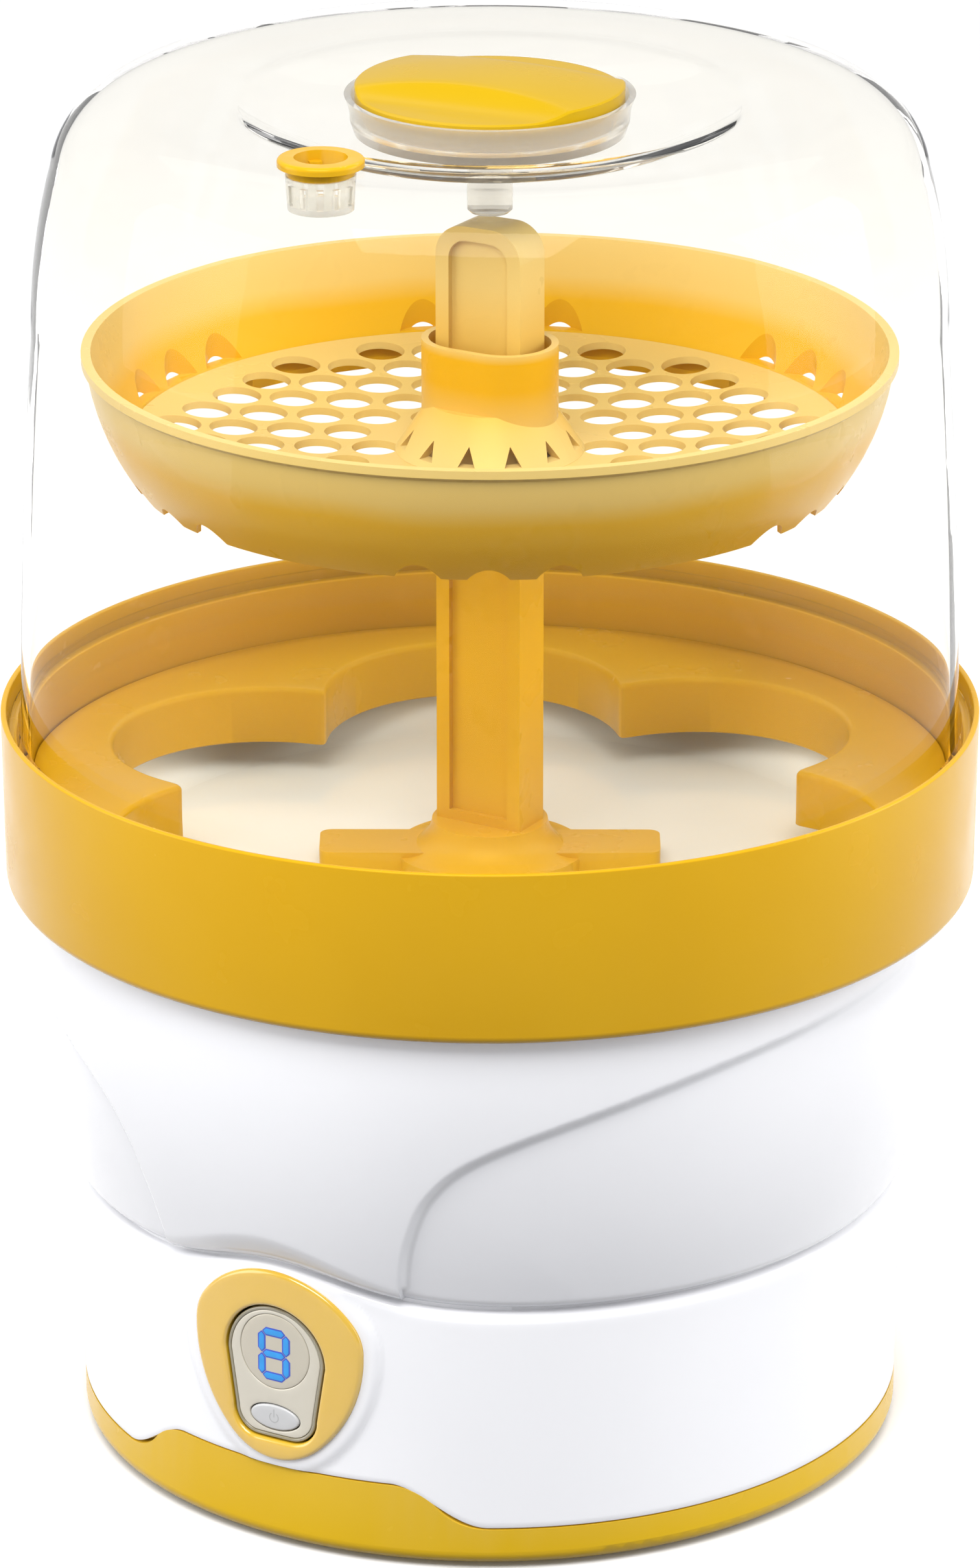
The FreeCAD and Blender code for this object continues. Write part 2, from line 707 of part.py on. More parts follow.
def make_board():
    back = "(Size.board_front - Size.board_thick)"
    middle = "-(Size.board_front - Size.board_thick/2)"
    blank = box("board_blank", "56", "Size.board_thick", "52", "0", middle, "20")
    holes = [cylinder("board_hole_%d" % side, "Size.screw_way", "6", side, "-94", "23",
                      axis=Vector(0, 1, 0)) for side in (-22, 22)]
    node(cut("control_board", blank, *holes), "control_board")
    front = "Size.board_front"
    node(box("display_module", "12.6", "8", "19", "0", "-(%s + 4)" % front,
             "Size.lens_height - 10.3"), "display_module")
    node(box("tact_switch", "6.2", "3.4", "6.2", "0", "-(%s + 1.7)" % front,
             "Size.button_height - 3.1"), "tact_switch")
    node(cylinder("switch_plunger", "1.7", "Size.button_back - Size.board_front - 5.15", "0",
                  "-(Size.board_front + 5.1)", "Size.button_height", axis=Vector(0, -1, 0)),
         "switch_plunger")
    parts = {
        "power_relay": ("15", "15", "19", "-17", "30"),
        "transformer": ("19", "15", "20", "17", "32"),
        "mains_connector": ("9", "8", "9", "0", "30"),
        "sensor_connector": ("9", "6", "6", "0", "60"),
    }
    for name, (wide, deep, high, x, z) in parts.items():
        node(box(name, wide, deep, high, x, "-(%s - (%s)/2)" % (back, deep), z), name)
    node(cylinder("capacitor", "5", "14", "-17", "-" + back, "59", axis=Vector(0, 1, 0)),
         "capacitor")
    base = box("bracket_base", "52", "12", "3", "0", "-(%s - 6)" % back,
               "Size.floor_low + Size.floor_thick")
    upright = box("bracket_upright", "52", "2.6", "22", "0", "-(%s - 1.3)" % back,
                  "Size.floor_low + Size.floor_thick + 0.5")
    bracket = fuse("bracket_blank", [base, upright])
    ways = [cylinder("bracket_hole_%d" % side, "Size.screw_bore", "8", side, "-94", "23",
                     axis=Vector(0, 1, 0)) for side in (-22, 22)]
    node(cut("board_bracket", bracket, *ways), "board_bracket")
    screws = []
    for side in (-22, 22):
        head = cylinder("board_head_%d" % side, "3", "2", side, "-(%s + 2)" % front, "23",
                        axis=Vector(0, 1, 0))
        shank = cylinder("board_shank_%d" % side, "Size.shank_radius", "6", side, "-(%s)" % front, "23",
                         axis=Vector(0, 1, 0))
        screws.append(fuse("board_screw_%d" % side, [head, shank]))
    node(group("board_screws", screws), "board_screws")


# ----------------------------------------------------- inlet and inner wiring

def make_inlet():
    nozzle = doc.addObject("Part::Cone", "inlet_nozzle")
    nozzle.setExpression("Radius1", "6")
    nozzle.setExpression("Radius2", "4.9")
    nozzle.setExpression("Height", "8")
    nozzle.Placement.Rotation = FreeCAD.Rotation(Vector(0, 0, 1), Vector(0, 1, 0))
    place(nozzle, "0", "106.5", "Size.inlet_height")
    parts = [
        cylinder("inlet_body", "6", "11", "0", "96", "Size.inlet_height", axis=Vector(0, 1, 0)),
        cylinder("inlet_collar", "8.5", "2.2", "0", "Size.housing_radius + 0.1",
                 "Size.inlet_height", axis=Vector(0, 1, 0)),
        nozzle,
    ]
    bore = cylinder("inlet_hole", "Size.inlet_bore", "30", "0", "90", "Size.inlet_height",
                    axis=Vector(0, 1, 0))
    node(cut("cord_inlet", fuse("inlet_blank", parts), bore), "cord_inlet")
    saddle = box("saddle_blank", "28", "8", "6", "0", "Size.clamp_reach", "Size.inlet_height")
    groove = cylinder("saddle_groove", "Size.inlet_bore", "14", "0", "81",
                      "Size.inlet_height - 0.4", axis=Vector(0, 1, 0))
    ways = [cylinder("saddle_hole_%d" % side, "Size.screw_bore", "10", side, "Size.clamp_reach",
                     "Size.inlet_height - 2") for side in (-10, 10)]
    node(cut("cord_clamp", saddle, groove, *ways), "cord_clamp")
    screws = [screw("clamp_screw_%d" % side, side, "Size.clamp_reach", "Size.inlet_height + 8.2",
                    "14", up=-1) for side in (-10, 10)]
    node(group("clamp_screws", screws), "clamp_screws")
    node(box("terminal_block", "26", "Size.block_deep", "Size.block_high", "0", "70",
             "Size.floor_low + Size.floor_thick"), "terminal_block")


def lead(label, corners):
    """A round wire along straight runs with a tangent arc at each inner corner."""
    points = [Vector(*[number(c) for c in corner]) for corner in corners]
    edges = []
    start = points[0]
    for before, corner, after in zip(points, points[1:], points[2:]):
        into = (corner - before).normalize()
        out = (after - corner).normalize()
        turn_angle = into.getAngle(out)
        reach = 0.45 * min((corner - before).Length, (after - corner).Length)
        bend = reach / math.tan(turn_angle / 2)
        first = corner - into * reach
        last = corner + out * reach
        bisector = (out - into).normalize()
        centre = corner + bisector * (bend / math.cos(turn_angle / 2))
        middle = centre - bisector * bend
        edges.append(Part.LineSegment(start, first).toShape())
        edges.append(Part.Arc(first, middle, last).toShape())
        start = last
    edges.append(Part.LineSegment(start, points[-1]).toShape())
    path = Part.Wire(edges)
    section = Part.Circle(points[0], points[1] - points[0], number("Size.lead_radius"))
    profile = Part.Wire([section.toShape()])
    item = doc.addObject("Part::Feature", label)
    item.Shape = path.makePipeShell([profile], True, True)
    expected = math.pi * number("Size.lead_radius") ** 2 * path.Length
    if abs(item.Shape.Volume / expected - 1) > 0.02:
        raise RuntimeError("%s has the wrong volume" % label)
    node(item, label)


def make_leads():
    reach = "(180 - Size.element_sweep/2)"
    pin_x = "(Size.element_ring*sin(%s) - 2.2*cos(%s))" % (reach, reach)
    pin_y = "(Size.element_ring*cos(%s) + 2.2*sin(%s))" % (reach, reach)
    pin_low = "(Size.basin_floor - Size.basin_wall - Size.plate_thick - 22)"
    block_top = "(Size.floor_low + Size.floor_thick + Size.block_high)"
    for side, name in ((-1, "lead_neutral"), (1, "lead_live")):
        lead(name, [
            ("%d*6" % side, "72", block_top),
            ("%d*6" % side, "72", "44"),
            ("%d*8" % side, "66", "70"),
            ("%d*%s" % (side, pin_x), pin_y, "94"),
            ("%d*%s" % (side, pin_x), pin_y, pin_low),
        ])
    lead("lead_board", [
        ("0", "63.9", "12"),
        ("0", "42", "12"),
        ("3", "0", "10"),
        ("3", "-40", "11"),
        ("0", "-64", "22"),
        ("0", "-68", "34.5"),
        ("0", "-(Size.board_front - Size.board_thick - 8)", "34.5"),
    ])
    lead("lead_sensor", [
        ("0", "0", "133"),
        ("0", "0", "118"),
        ("0", "-22", "100"),
        ("0", "-48", "84"),
        ("0", "-66", "63"),
        ("0", "-(Size.board_front - Size.board_thick - 6)", "63"),
    ])


def make_base_screws(screw_places):
    screws = []
    for index, (x, y) in enumerate(screw_places):
        head = cylinder("base_head_%d" % index, "3.2", "1.8", x, y, "1")
        shank = cylinder("base_shank_%d" % index, "Size.shank_radius", "19", x, y, "2.8")
        screws.append(fuse("base_screw_%d" % index, [head, shank]))
    node(group("base_screws", screws), "base_screws")


# -------------------------------------------------------------------- rack

def make_collar():
    node(turned("rack_collar", [
        ("Size.collar_skirt_bore", "Size.collar_low"),
        ("Size.collar_low_radius - 3", "Size.collar_low", "3"),
        ("Size.collar_low_radius", "Size.collar_low + 3"),
        ("Size.collar_top_radius", "Size.collar_top - 0.5", "0.6"),
        ("Size.collar_top_radius - 0.5", "Size.collar_top"),
        ("Size.collar_lip_bore", "Size.collar_top"),
        ("Size.collar_lip_bore", "Size.collar_step"),
        ("Size.collar_bore + 0.2", "Size.collar_step"),
        ("Size.collar_bore", "Size.shelf_top"),
        ("Size.shelf_bore", "Size.shelf_top"),
        ("Size.shelf_bore", "Size.shelf_low"),
        ("Size.collar_skirt_bore", "Size.shelf_low"),
    ]), "rack_collar")


def lobes(label, radius, low, high):
    """A six-lobed rosette: one round lobe for each bottle."""
    items = [cylinder(label + "_core", "Size.lobe_circle", "%s - (%s)" % (high, low), z=low)]
    for index in range(6):
        x, y = around("Size.lobe_circle", "%d*60 + Size.rack_turn" % index)
        items.append(cylinder("%s_%d" % (label, index), radius, "%s - (%s)" % (high, low),
                              x, y, low))
    return fuse(label, items)


def make_insert():
    plate = cylinder("insert_plate", "Size.insert_radius",
                     "Size.insert_top - Size.insert_plate_low", z="Size.insert_plate_low")
    hem = turned("insert_hem", [
        ("Size.insert_radius - 2.2", "Size.shelf_top"),
        ("Size.insert_radius", "Size.shelf_top"),
        ("Size.insert_radius", "Size.insert_top - 1"),
        ("Size.insert_radius - 2.2", "Size.insert_top - 1"),
    ])
    wall = lobes("lobe_outside", "Size.lobe_radius + Size.lobe_wall", "Size.lobe_low",
                 "Size.insert_top")
    opening = lobes("lobe_inside", "Size.lobe_radius", "(Size.lobe_low - 5)",
                    "(Size.insert_top + 5)")
    sharp = cut("insert_sharp", fuse("insert_blank", [plate, hem, wall]), opening)
    pockets = []
    for index in range(6):
        x, y = around("Size.pocket_circle", "%d*60 + 30 + Size.rack_turn" % index)
        pockets.append(cylinder("pocket_%d" % index, "Size.pocket_radius", "10", x, y,
                                "Size.insert_top - 1.6"))
    pocketed = cut("insert_pocketed", sharp, *pockets)
    doc.recompute()
    node(rounded_cusps("rack_insert", pocketed), "rack_insert")


def rounded_cusps(label, item):
    """Round the six upright edges that point inwards between the lobes."""
    item_edges = []
    for index, edge in enumerate(item.Shape.Edges, 1):
        middle = edge.CenterOfMass
        upright = abs(edge.tangentAt(edge.FirstParameter).z) > 0.99
        if upright and math.hypot(middle.x, middle.y) < 78 and edge.Length > 10:
            item_edges.append((index, 5.0, 5.0))
    if len(item_edges) != 6:
        raise RuntimeError("the rack insert has %d cusps" % len(item_edges))
    fillet = doc.addObject("Part::Fillet", label)
    fillet.Base = item
    fillet.Edges = item_edges
    return fillet


# ------------------------------------------------------------------- stand

def make_stand():
    half = "(Size.column_wide/2)"
    corner = "Size.column_corner"
    top = "Size.column_top"
    low = "Size.foot_top"
    column = prism("column_blank", [
        ("-" + half, low),
        (half, low),
        (half, "%s - %s" % (top, corner), corner),
        ("%s - %s" % (half, corner), top),
        ("-(%s - %s)" % (half, corner), top, corner),
        ("-" + half, "%s - %s" % (top, corner)),
    ], "Size.column_deep", offset="-Size.column_deep/2", role="XZ_Plane")
    narrow = "(Size.groove_wide/2)"
    inset = "(Size.column_wide/2 - Size.groove_wide/2)"
    grooves = []
    for name, offset in (("front", "Size.column_deep/2 - Size.groove_deep"),
                         ("back", "-(Size.column_deep/2 + 5)")):
        grooves.append(prism("groove_" + name, [
            ("-" + narrow, low + " + 9"),
            (narrow, low + " + 9"),
            (narrow, "%s - %s - 5" % (top, inset), "5"),
            ("%s - 5" % narrow, "%s - %s" % (top, inset)),
            ("-(%s - 5)" % narrow, "%s - %s" % (top, inset), "5"),
            ("-" + narrow, "%s - %s - 5" % (top, inset)),
        ], "5 + Size.groove_deep", offset=offset, role="XZ_Plane"))
    lugs = box("stop_lugs", "Size.lug_wide", "Size.lug_deep", "Size.lug_high", "0", "0",
               "Size.tray_floor - Size.lug_drop")
    node(cut("stand_column", fuse("column_lugged", [column, lugs]), *grooves), "stand_column")
    span = "(Size.foot_span/2)"
    wide = "(Size.foot_wide/2)"
    arms = prism("foot_arms", [
        ("-(%s - 3)" % span, "-" + wide),
        ("%s - 3" % span, "-" + wide, "3"),
        (span, "-(%s - 3)" % wide),
        (span, "%s - 3" % wide, "3"),
        ("%s - 3" % span, wide),
        ("-(%s - 3)" % span, wide, "3"),
        ("-" + span, "%s - 3" % wide),
        ("-" + span, "-(%s - 3)" % wide, "3"),
    ], "Size.foot_top - Size.foot_low", offset="Size.foot_low")
    turn(arms, "Size.foot_turn")
    hub = turned("foot_hub", [
        ("0", "Size.foot_low"),
        ("Size.foot_hub + 4", "Size.foot_low"),
        ("Size.foot_hub + 4", "Size.foot_top - 1.5", "-9"),
        ("14.6", "Size.foot_top + 6.5"),
        ("0", "Size.foot_top + 6.5"),
    ])
    socket = box("foot_socket", "Size.column_wide", "Size.column_deep", "20", "0", "0",
                 "Size.foot_top")
    node(cut("stand_foot", fuse("foot_blank", [arms, hub]), socket), "stand_foot")


# -------------------------------------------------------------------- tray

# a group of three openings: name, turn in degrees, circle of the petal and its radius,
# circle of the scallop
PETALS = (
    ("left", -11, "86.5", "7.4", "84.4"),
    ("middle", 0, "86", "8", "83.8"),
    ("right", 11, "86.5", "7.4", "84.4"),
)
# the groups whose openings also reach up into the wall
BACK_GROUPS = (1, 2, 3)


def make_tray_bowl():
    wall = "Size.tray_wall"
    bowl = turned("tray_shell", [
        ("Size.tray_low_radius - 1.7", "Size.tray_low"),
        ("Size.tray_low_radius", "Size.tray_low", "60"),
        ("Size.tray_rim_radius - 1.2", "Size.tray_rim - 3"),
        ("Size.tray_rim_radius", "Size.tray_rim - 2"),
        ("Size.tray_rim_radius", "Size.tray_rim"),
        ("Size.tray_rim_radius - 2.4", "Size.tray_rim"),
        ("Size.tray_rim_radius - 1.2 - " + wall, "Size.tray_rim - 3", "-60"),
        ("Size.tray_foot_bore", "Size.tray_floor - " + wall),
    ])
    openings = []
    scallop_low = "(Size.tray_low - 1)"
    for group_index in range(6):
        for name, shift, circle, radius, scallop_circle in PETALS:
            label = "%s_%d" % (name, group_index)
            angle = "%d*60 + %d" % (group_index, shift)
            x, y = around(scallop_circle, angle)
            openings.append(cylinder("scallop_" + label, "Size.scallop_radius",
                                     "Size.scallop_top - " + scallop_low, x, y, scallop_low))
            if group_index in BACK_GROUPS:
                x, y = around(circle, angle)
                openings.append(cylinder("petal_" + label, radius, "14", x, y,
                                         "Size.petal_low"))
    node(cut("tray_bowl", bowl, *openings), "tray_bowl")


def make_tray_floor():
    """The perforated floor: a shallow dish with a honeycomb of tapered round holes."""
    wall = "Size.tray_wall"
    inner = "Size.sleeve_radius + Size.sleeve_centre + 0.6"
    disc = turned("tray_floor", [
        (inner, "Size.tray_floor - " + wall, "Size.floor_curve"),
        ("Size.floor_edge", "Size.tray_floor + Size.floor_rise - " + wall),
        ("Size.floor_edge + 1.1", "Size.tray_floor + Size.floor_rise",
         "-(Size.floor_curve - %s)" % wall),
        (inner, "Size.tray_floor"),
    ])
    sketch = new_sketch(disc, "XY_Plane", "tray_holes", "Size.tray_floor + Size.floor_rise")
    pitch = number("Size.hole_pitch")
    reach = number("Size.floor_edge - Size.hole_mouth - 0.6")
    nearest = number("Size.sleeve_flare + 3")
    for column in range(-7, 8):
        for row in range(-7, 8):
            shift = 0.5 * (column % 2)
            distance = math.hypot(column * math.sqrt(0.75), row + shift) * pitch
            if not nearest < distance < reach:
                continue
            add_hole(sketch, column, row + shift)
    pocket = disc.newObject("PartDesign::Pocket", "tray_hole_pocket")
    pocket.Profile = sketch
    depth = "(Size.floor_rise + %s + 0.3)" % wall
    pocket.setExpression("Length", depth)
    pocket.setExpression(
        "TaperAngle", "-atan((Size.hole_mouth - Size.hole_radius)/%s)" % depth)
    node(disc, "tray_floor")


def add_hole(sketch, column, row):
    x = "Size.hole_pitch*%d*sqrt(0.75)" % column
    y = "Size.hole_pitch*%s" % row
    centre = Vector(number(x), number(y), 0)
    radius = number("Size.hole_mouth")
    edge = sketch.addGeometry(Part.Circle(centre, Vector(0, 0, 1), radius), False)
    fix_value(sketch, Sketcher.Constraint("DistanceX", -1, 1, edge, 3, centre.x), x)
    fix_value(sketch, Sketcher.Constraint("DistanceY", -1, 1, edge, 3, centre.y), y)
    fix_value(sketch, Sketcher.Constraint("Radius", edge, radius), "Size.hole_mouth")


def slot_prism(label, radius, low, height):
    """A stadium along X whose ends have the given radius."""
    centre = "Size.sleeve_centre"
    return prism(label, [
        ("-" + centre, "-(%s)" % radius),
        (centre, "-(%s)" % radius, radius),
        (centre, radius),
        ("-" + centre, radius, radius),
    ], height, offset=low)


def make_tray_sleeve():
    low = "(Size.tray_floor + 0.05)"
    tube = slot_prism("sleeve_tube", "Size.sleeve_radius", low, "Size.sleeve_top - " + low)
    collar = slot_prism("sleeve_collar", "Size.sleeve_radius", "(Size.tray_floor - 4)",
                        "6")
    flare = cone("sleeve_flare_cone", "Size.sleeve_flare", "15.2", "12.5", low)
    hollow = slot_prism("sleeve_hollow", "Size.sleeve_radius - Size.sleeve_wall",
                        "(Size.tray_floor - 6)", "60")
    under = cone("sleeve_flare_hollow", "Size.sleeve_flare - 3.2", "12.5", "11", low + " - 0.05")
    windows = []
    for index in range(12):
        window = prism("sleeve_window_%d" % index, [
            ("-2.2", low + " + 1.6"),
            ("2.2", low + " + 1.6"),
            ("0", low + " + 6.2"),
        ], "14", offset="14.9", role="XZ_Plane")
        windows.append(turn(window, "%d*30 + 15" % index))
    skirt = cut("sleeve_skirt", flare, under, *windows)
    shell_part = fuse("sleeve_blank", [tube, collar, skirt])
    node(cut("tray_sleeve", shell_part, hollow), "tray_sleeve")


# -------------------------------------------------------------------- hood

def make_hood():
    wall = "Size.hood_wall"
    corners = [
        ("Size.hood_skirt - " + wall, "Size.hood_low"),
        ("Size.hood_skirt", "Size.hood_low"),
        ("Size.hood_skirt", "Size.hood_flange_low"),
        ("Size.hood_flange", "Size.hood_flange_low"),
        ("Size.hood_flange", "Size.hood_flange_top"),
        ("Size.hood_neck + 0.6", "Size.hood_flange_top"),
        ("Size.hood_neck", "Size.hood_neck_height"),
        ("Size.hood_side_radius", "Size.hood_side_top", "156"),
        ("Size.bend_radius", "Size.bend_height", "21.5"),
        ("Size.crown_radius", "Size.crown_height"),
        ("Size.dish_radius", "Size.dish_height"),
        ("Size.dish_radius - 1", "Size.dish_height - 0.9", "-52"),
        ("Size.dish_floor_radius", "Size.dish_floor"),
        ("Size.stem_radius + 0.3", "Size.dish_floor"),
        ("Size.stem_radius + 0.3", "Size.dish_floor - " + wall),
        ("Size.dish_floor_radius + 0.4", "Size.dish_floor - " + wall, "54.2"),
        ("Size.dish_radius - 0.6", "Size.dish_height - 0.9 - " + wall),
        ("Size.crown_radius", "Size.crown_height - " + wall, "-19.3"),
        ("Size.bend_radius - 2", "Size.bend_height - 0.9", "-153.8"),
        ("Size.hood_side_radius - " + wall, "Size.hood_side_top"),
        ("Size.hood_neck - " + wall, "Size.hood_neck_height"),
    ]
    bell = turned("hood_bell", corners)
    way = cylinder("vent_way", "Size.vent_hole", "30", "0", "-Size.vent_circle", "330")
    node(cut("hood_shell", bell, way), "hood_shell")


def make_cup():
    low = "(Size.dish_floor + 0.05)"
    node(turned("knob_cup", [
        ("Size.stem_radius + 0.3", low),
        ("Size.cup_waist - 1", low),
        ("Size.cup_waist", "%s + 3" % low, "-14"),
        ("Size.cup_radius", "Size.knob_rim - 0.6"),
        ("Size.cup_radius - 1.6", "Size.knob_rim - 0.6"),
        ("Size.cup_waist - 1.6", "%s + 3.2" % low),
        ("Size.cup_waist - 3", "%s + 1.8" % low),
        ("Size.stem_radius + 0.3", "%s + 1.8" % low),
    ]), "knob_cup")


def make_knob():
    rise = "(Size.knob_top - Size.knob_rim - 2)"
    dome = "((Size.knob_radius^2 + %s^2)/(2*%s))" % (rise, rise)
    blank = turned("knob_dome", [
        ("0", "Size.knob_low"),
        ("Size.knob_radius - 2.6", "Size.knob_low"),
        ("Size.knob_radius - 0.4", "Size.knob_low + 3"),
        ("Size.knob_radius", "Size.knob_rim"),
        ("Size.knob_radius", "Size.knob_rim + 2", dome),
        ("0", "Size.knob_top"),
    ])
    turn(blank, "Size.knob_turn")
    level = "(Size.knob_rim + 0.2 + Size.scoop_radius)"
    out = ("(Size.grip_half + sqrt(Size.scoop_radius^2 - (%s - Size.knob_top)^2))" % level)
    scoops = []
    for side in (-1, 1):
        scoop = cylinder("grip_scoop_%d" % side, "Size.scoop_radius", "90",
                         "-45*cos(Size.knob_turn) - %d*%s*sin(Size.knob_turn)" % (side, out),
                         "-45*sin(Size.knob_turn) + %d*%s*cos(Size.knob_turn)" % (side, out),
                         level)
        heading = math.radians(number("Size.knob_turn"))
        along = Vector(math.cos(heading), math.sin(heading), 0)
        scoop.Placement.Rotation = FreeCAD.Rotation(Vector(0, 0, 1), along)
        scoops.append(scoop)
        clear = box("grip_clear_%d" % side, "90", "40", "20", "0", "0", "Size.knob_rim + 0.2")
        shift = "(%s + 20)" % out
        middle = ("-%d*%s*sin(Size.knob_turn)" % (side, shift),
                  "%d*%s*cos(Size.knob_turn)" % (side, shift))
        rotate_about_own_middle(clear, number("Size.knob_turn"), "90", "40", middle,
                                "Size.knob_rim + 0.2")
        scoops.append(clear)
    node(cut("hood_knob", blank, *scoops), "hood_knob")


def make_stem():
    low = "Size.dish_floor - Size.hood_wall"
    node(turned("knob_stem", [
        ("0", "Size.stem_low"),
        ("Size.stem_radius - 1", "Size.stem_low"),
        ("Size.stem_radius", "Size.stem_low + 1"),
        ("Size.stem_radius", "Size.knob_low"),
        ("0", "Size.knob_low"),
    ]), "knob_stem")
    node(turned("knob_nut", [
        ("Size.stem_radius", low + " - 6"),
        ("9", low + " - 6"),
        ("11", low),
        ("Size.stem_radius", low),
    ]), "knob_nut")


def make_vent():
    low = "(Size.crown_height + 0.1)"
    ring = turned("vent_ring_blank", [
        ("Size.vent_bore", low + " - 2.4"),
        ("Size.cage_radius - 0.3", low + " - 2.4"),
        ("Size.cage_radius - 0.3", low),
        ("Size.vent_flange", low),
        ("Size.vent_flange", low + " + 1", "1"),
        ("Size.vent_flange - 1", low + " + 2"),
        ("Size.vent_bore", low + " + 2"),
    ])
    place(ring, "0", "-Size.vent_circle")
    tabs = []
    for index in range(4):
        tab = box("vent_tab_%d" % index, "3", "2.2", "1.6", "0", "0", "0")
        middle = around("5.6", "%d*90 + 45" % index)
        middle = (middle[0], "%s - Size.vent_circle" % middle[1])
        rotate_about_own_middle(tab, index * 90 - 45, "3", "2.2", middle, low + " - 2")
        tabs.append(tab)
    node(fuse("vent_ring", [ring] + tabs), "vent_ring")
    cage_top = low + " - 2.5"
    cage = turned("vent_cage_blank", [
        ("0", cage_top + " - 8"),
        ("Size.cage_radius - 0.5", cage_top + " - 8"),
        ("Size.cage_radius", cage_top),
        ("Size.cage_radius - 1.3", cage_top),
        ("Size.cage_radius - 1.8", cage_top + " - 6.8"),
        ("0", cage_top + " - 6.8"),
    ])
    place(cage, "0", "-Size.vent_circle")
    slots = []
    for index in range(6):
        slot = box("cage_slot_%d" % index, "20", "1.6", "5", "0", "0", "0")
        rotate_about_own_middle(slot, index * 30, "20", "1.6", ("0", "-Size.vent_circle"),
                                cage_top + " - 6.6")
        slots.append(slot)
    node(cut("vent_cage", cage, *slots), "vent_cage")


# ------------------------------------------------------------------- build

def check_and_write():
    doc.recompute()
    failed = [item.Label for item in doc.Objects
              if "Invalid" in item.State or "Error" in item.State]
    if failed:
        raise RuntimeError("failed: " + ", ".join(failed))
    os.makedirs("parts", exist_ok=True)
    for item in NODES:
        shape = item.Shape
        if shape.isNull() or not shape.isValid() or not shape.Solids:
            raise RuntimeError("%s has no valid solid" % item.Label)
    for item in NODES:
        item.Shape.exportStep(os.path.join("parts", item.Label + ".step"))
        print("%-18s %2d solids %10.0f mm3" % (
            item.Label, len(item.Shape.Solids), item.Shape.Volume))
    print(len(NODES), "sub-parts written")


screw_spots = [around("Size.screw_circle", degrees) for degrees in (22, 158, 202, 338)]
boss_spots = [around("Size.boss_circle", "90 + %d*120" % index) for index in range(3)]
foot_spots = make_feet()
make_bottom_shell(foot_spots, screw_spots)
make_lower_housing(screw_spots)
make_upper_housing(boss_spots)
make_basin()
make_heater(boss_spots)
make_control_panel()
make_board()
make_inlet()
make_leads()
make_base_screws(screw_spots)
make_collar()
make_insert()
make_stand()
make_tray_bowl()
make_tray_floor()
make_tray_sleeve()
make_hood()
make_cup()
make_knob()
make_stem()
make_vent()
check_and_write()
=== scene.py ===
import json
import math

import bmesh
import bpy
import numpy as np
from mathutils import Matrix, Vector
from mathutils.geometry import delaunay_2d_cdt


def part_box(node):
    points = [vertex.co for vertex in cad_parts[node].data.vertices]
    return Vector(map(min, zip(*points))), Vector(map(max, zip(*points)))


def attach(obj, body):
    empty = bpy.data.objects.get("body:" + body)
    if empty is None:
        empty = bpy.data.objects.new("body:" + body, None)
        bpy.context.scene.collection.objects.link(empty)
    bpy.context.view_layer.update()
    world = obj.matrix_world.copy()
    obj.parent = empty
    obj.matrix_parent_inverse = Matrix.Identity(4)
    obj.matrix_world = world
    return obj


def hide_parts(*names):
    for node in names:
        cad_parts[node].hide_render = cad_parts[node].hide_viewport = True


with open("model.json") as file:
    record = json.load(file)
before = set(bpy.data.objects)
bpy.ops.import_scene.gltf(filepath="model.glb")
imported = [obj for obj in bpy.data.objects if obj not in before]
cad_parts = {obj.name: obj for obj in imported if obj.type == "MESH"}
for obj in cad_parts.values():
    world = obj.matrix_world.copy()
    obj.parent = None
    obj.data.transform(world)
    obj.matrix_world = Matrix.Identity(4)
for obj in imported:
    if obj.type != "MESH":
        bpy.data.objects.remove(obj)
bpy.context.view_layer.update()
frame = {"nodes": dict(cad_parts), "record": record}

# Everything below is in millimetres; add_piece() turns it into metres.
# Angles run round the Z axis from the front (-Y), towards +X.
MM = 0.001


def low(node):
    """Lowest corner of a CAD node, in millimetres."""
    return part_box(node)[0] / MM


def high(node):
    """Highest corner of a CAD node, in millimetres."""
    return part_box(node)[1] / MM


def middle_z(node):
    """Height of the middle of a CAD node."""
    return (low(node).z + high(node).z) / 2


def half_height(node):
    return (high(node).z - low(node).z) / 2


def mixed(a, b, share):
    """The value that lies at a share of the way from a to b."""
    return a + (b - a) * share


def smooth(share):
    """A soft step from 0 to 1 while the share runs from 0 to 1."""
    share = min(1.0, max(0.0, share))
    return share * share * (3 - 2 * share)


def from_front(angle):
    """Degrees between an angle and the front, 0 to 180."""
    return abs((angle + 180) % 360 - 180)


# ------------------------------------------------------------- materials

SKIN_GRAIN = 900.0
PATCHES = 60.0


def new_material(name):
    """A material with its nodes, links and main shader."""
    material = bpy.data.materials.new(name)
    material.use_nodes = True
    nodes = material.node_tree.nodes
    return material, nodes, material.node_tree.links, nodes["Principled BSDF"]


def noise(nodes, links, scale, detail=3.0, stretch=(1, 1, 1)):
    """Noise laid in object space, so that it stays on the surface."""
    place = nodes.new("ShaderNodeTexCoord")
    mapping = nodes.new("ShaderNodeMapping")
    mapping.inputs["Scale"].default_value = stretch
    texture = nodes.new("ShaderNodeTexNoise")
    texture.inputs["Scale"].default_value = scale
    texture.inputs["Detail"].default_value = detail
    links.new(place.outputs["Object"], mapping.inputs["Vector"])
    links.new(mapping.outputs["Vector"], texture.inputs["Vector"])
    return texture.outputs["Fac"]


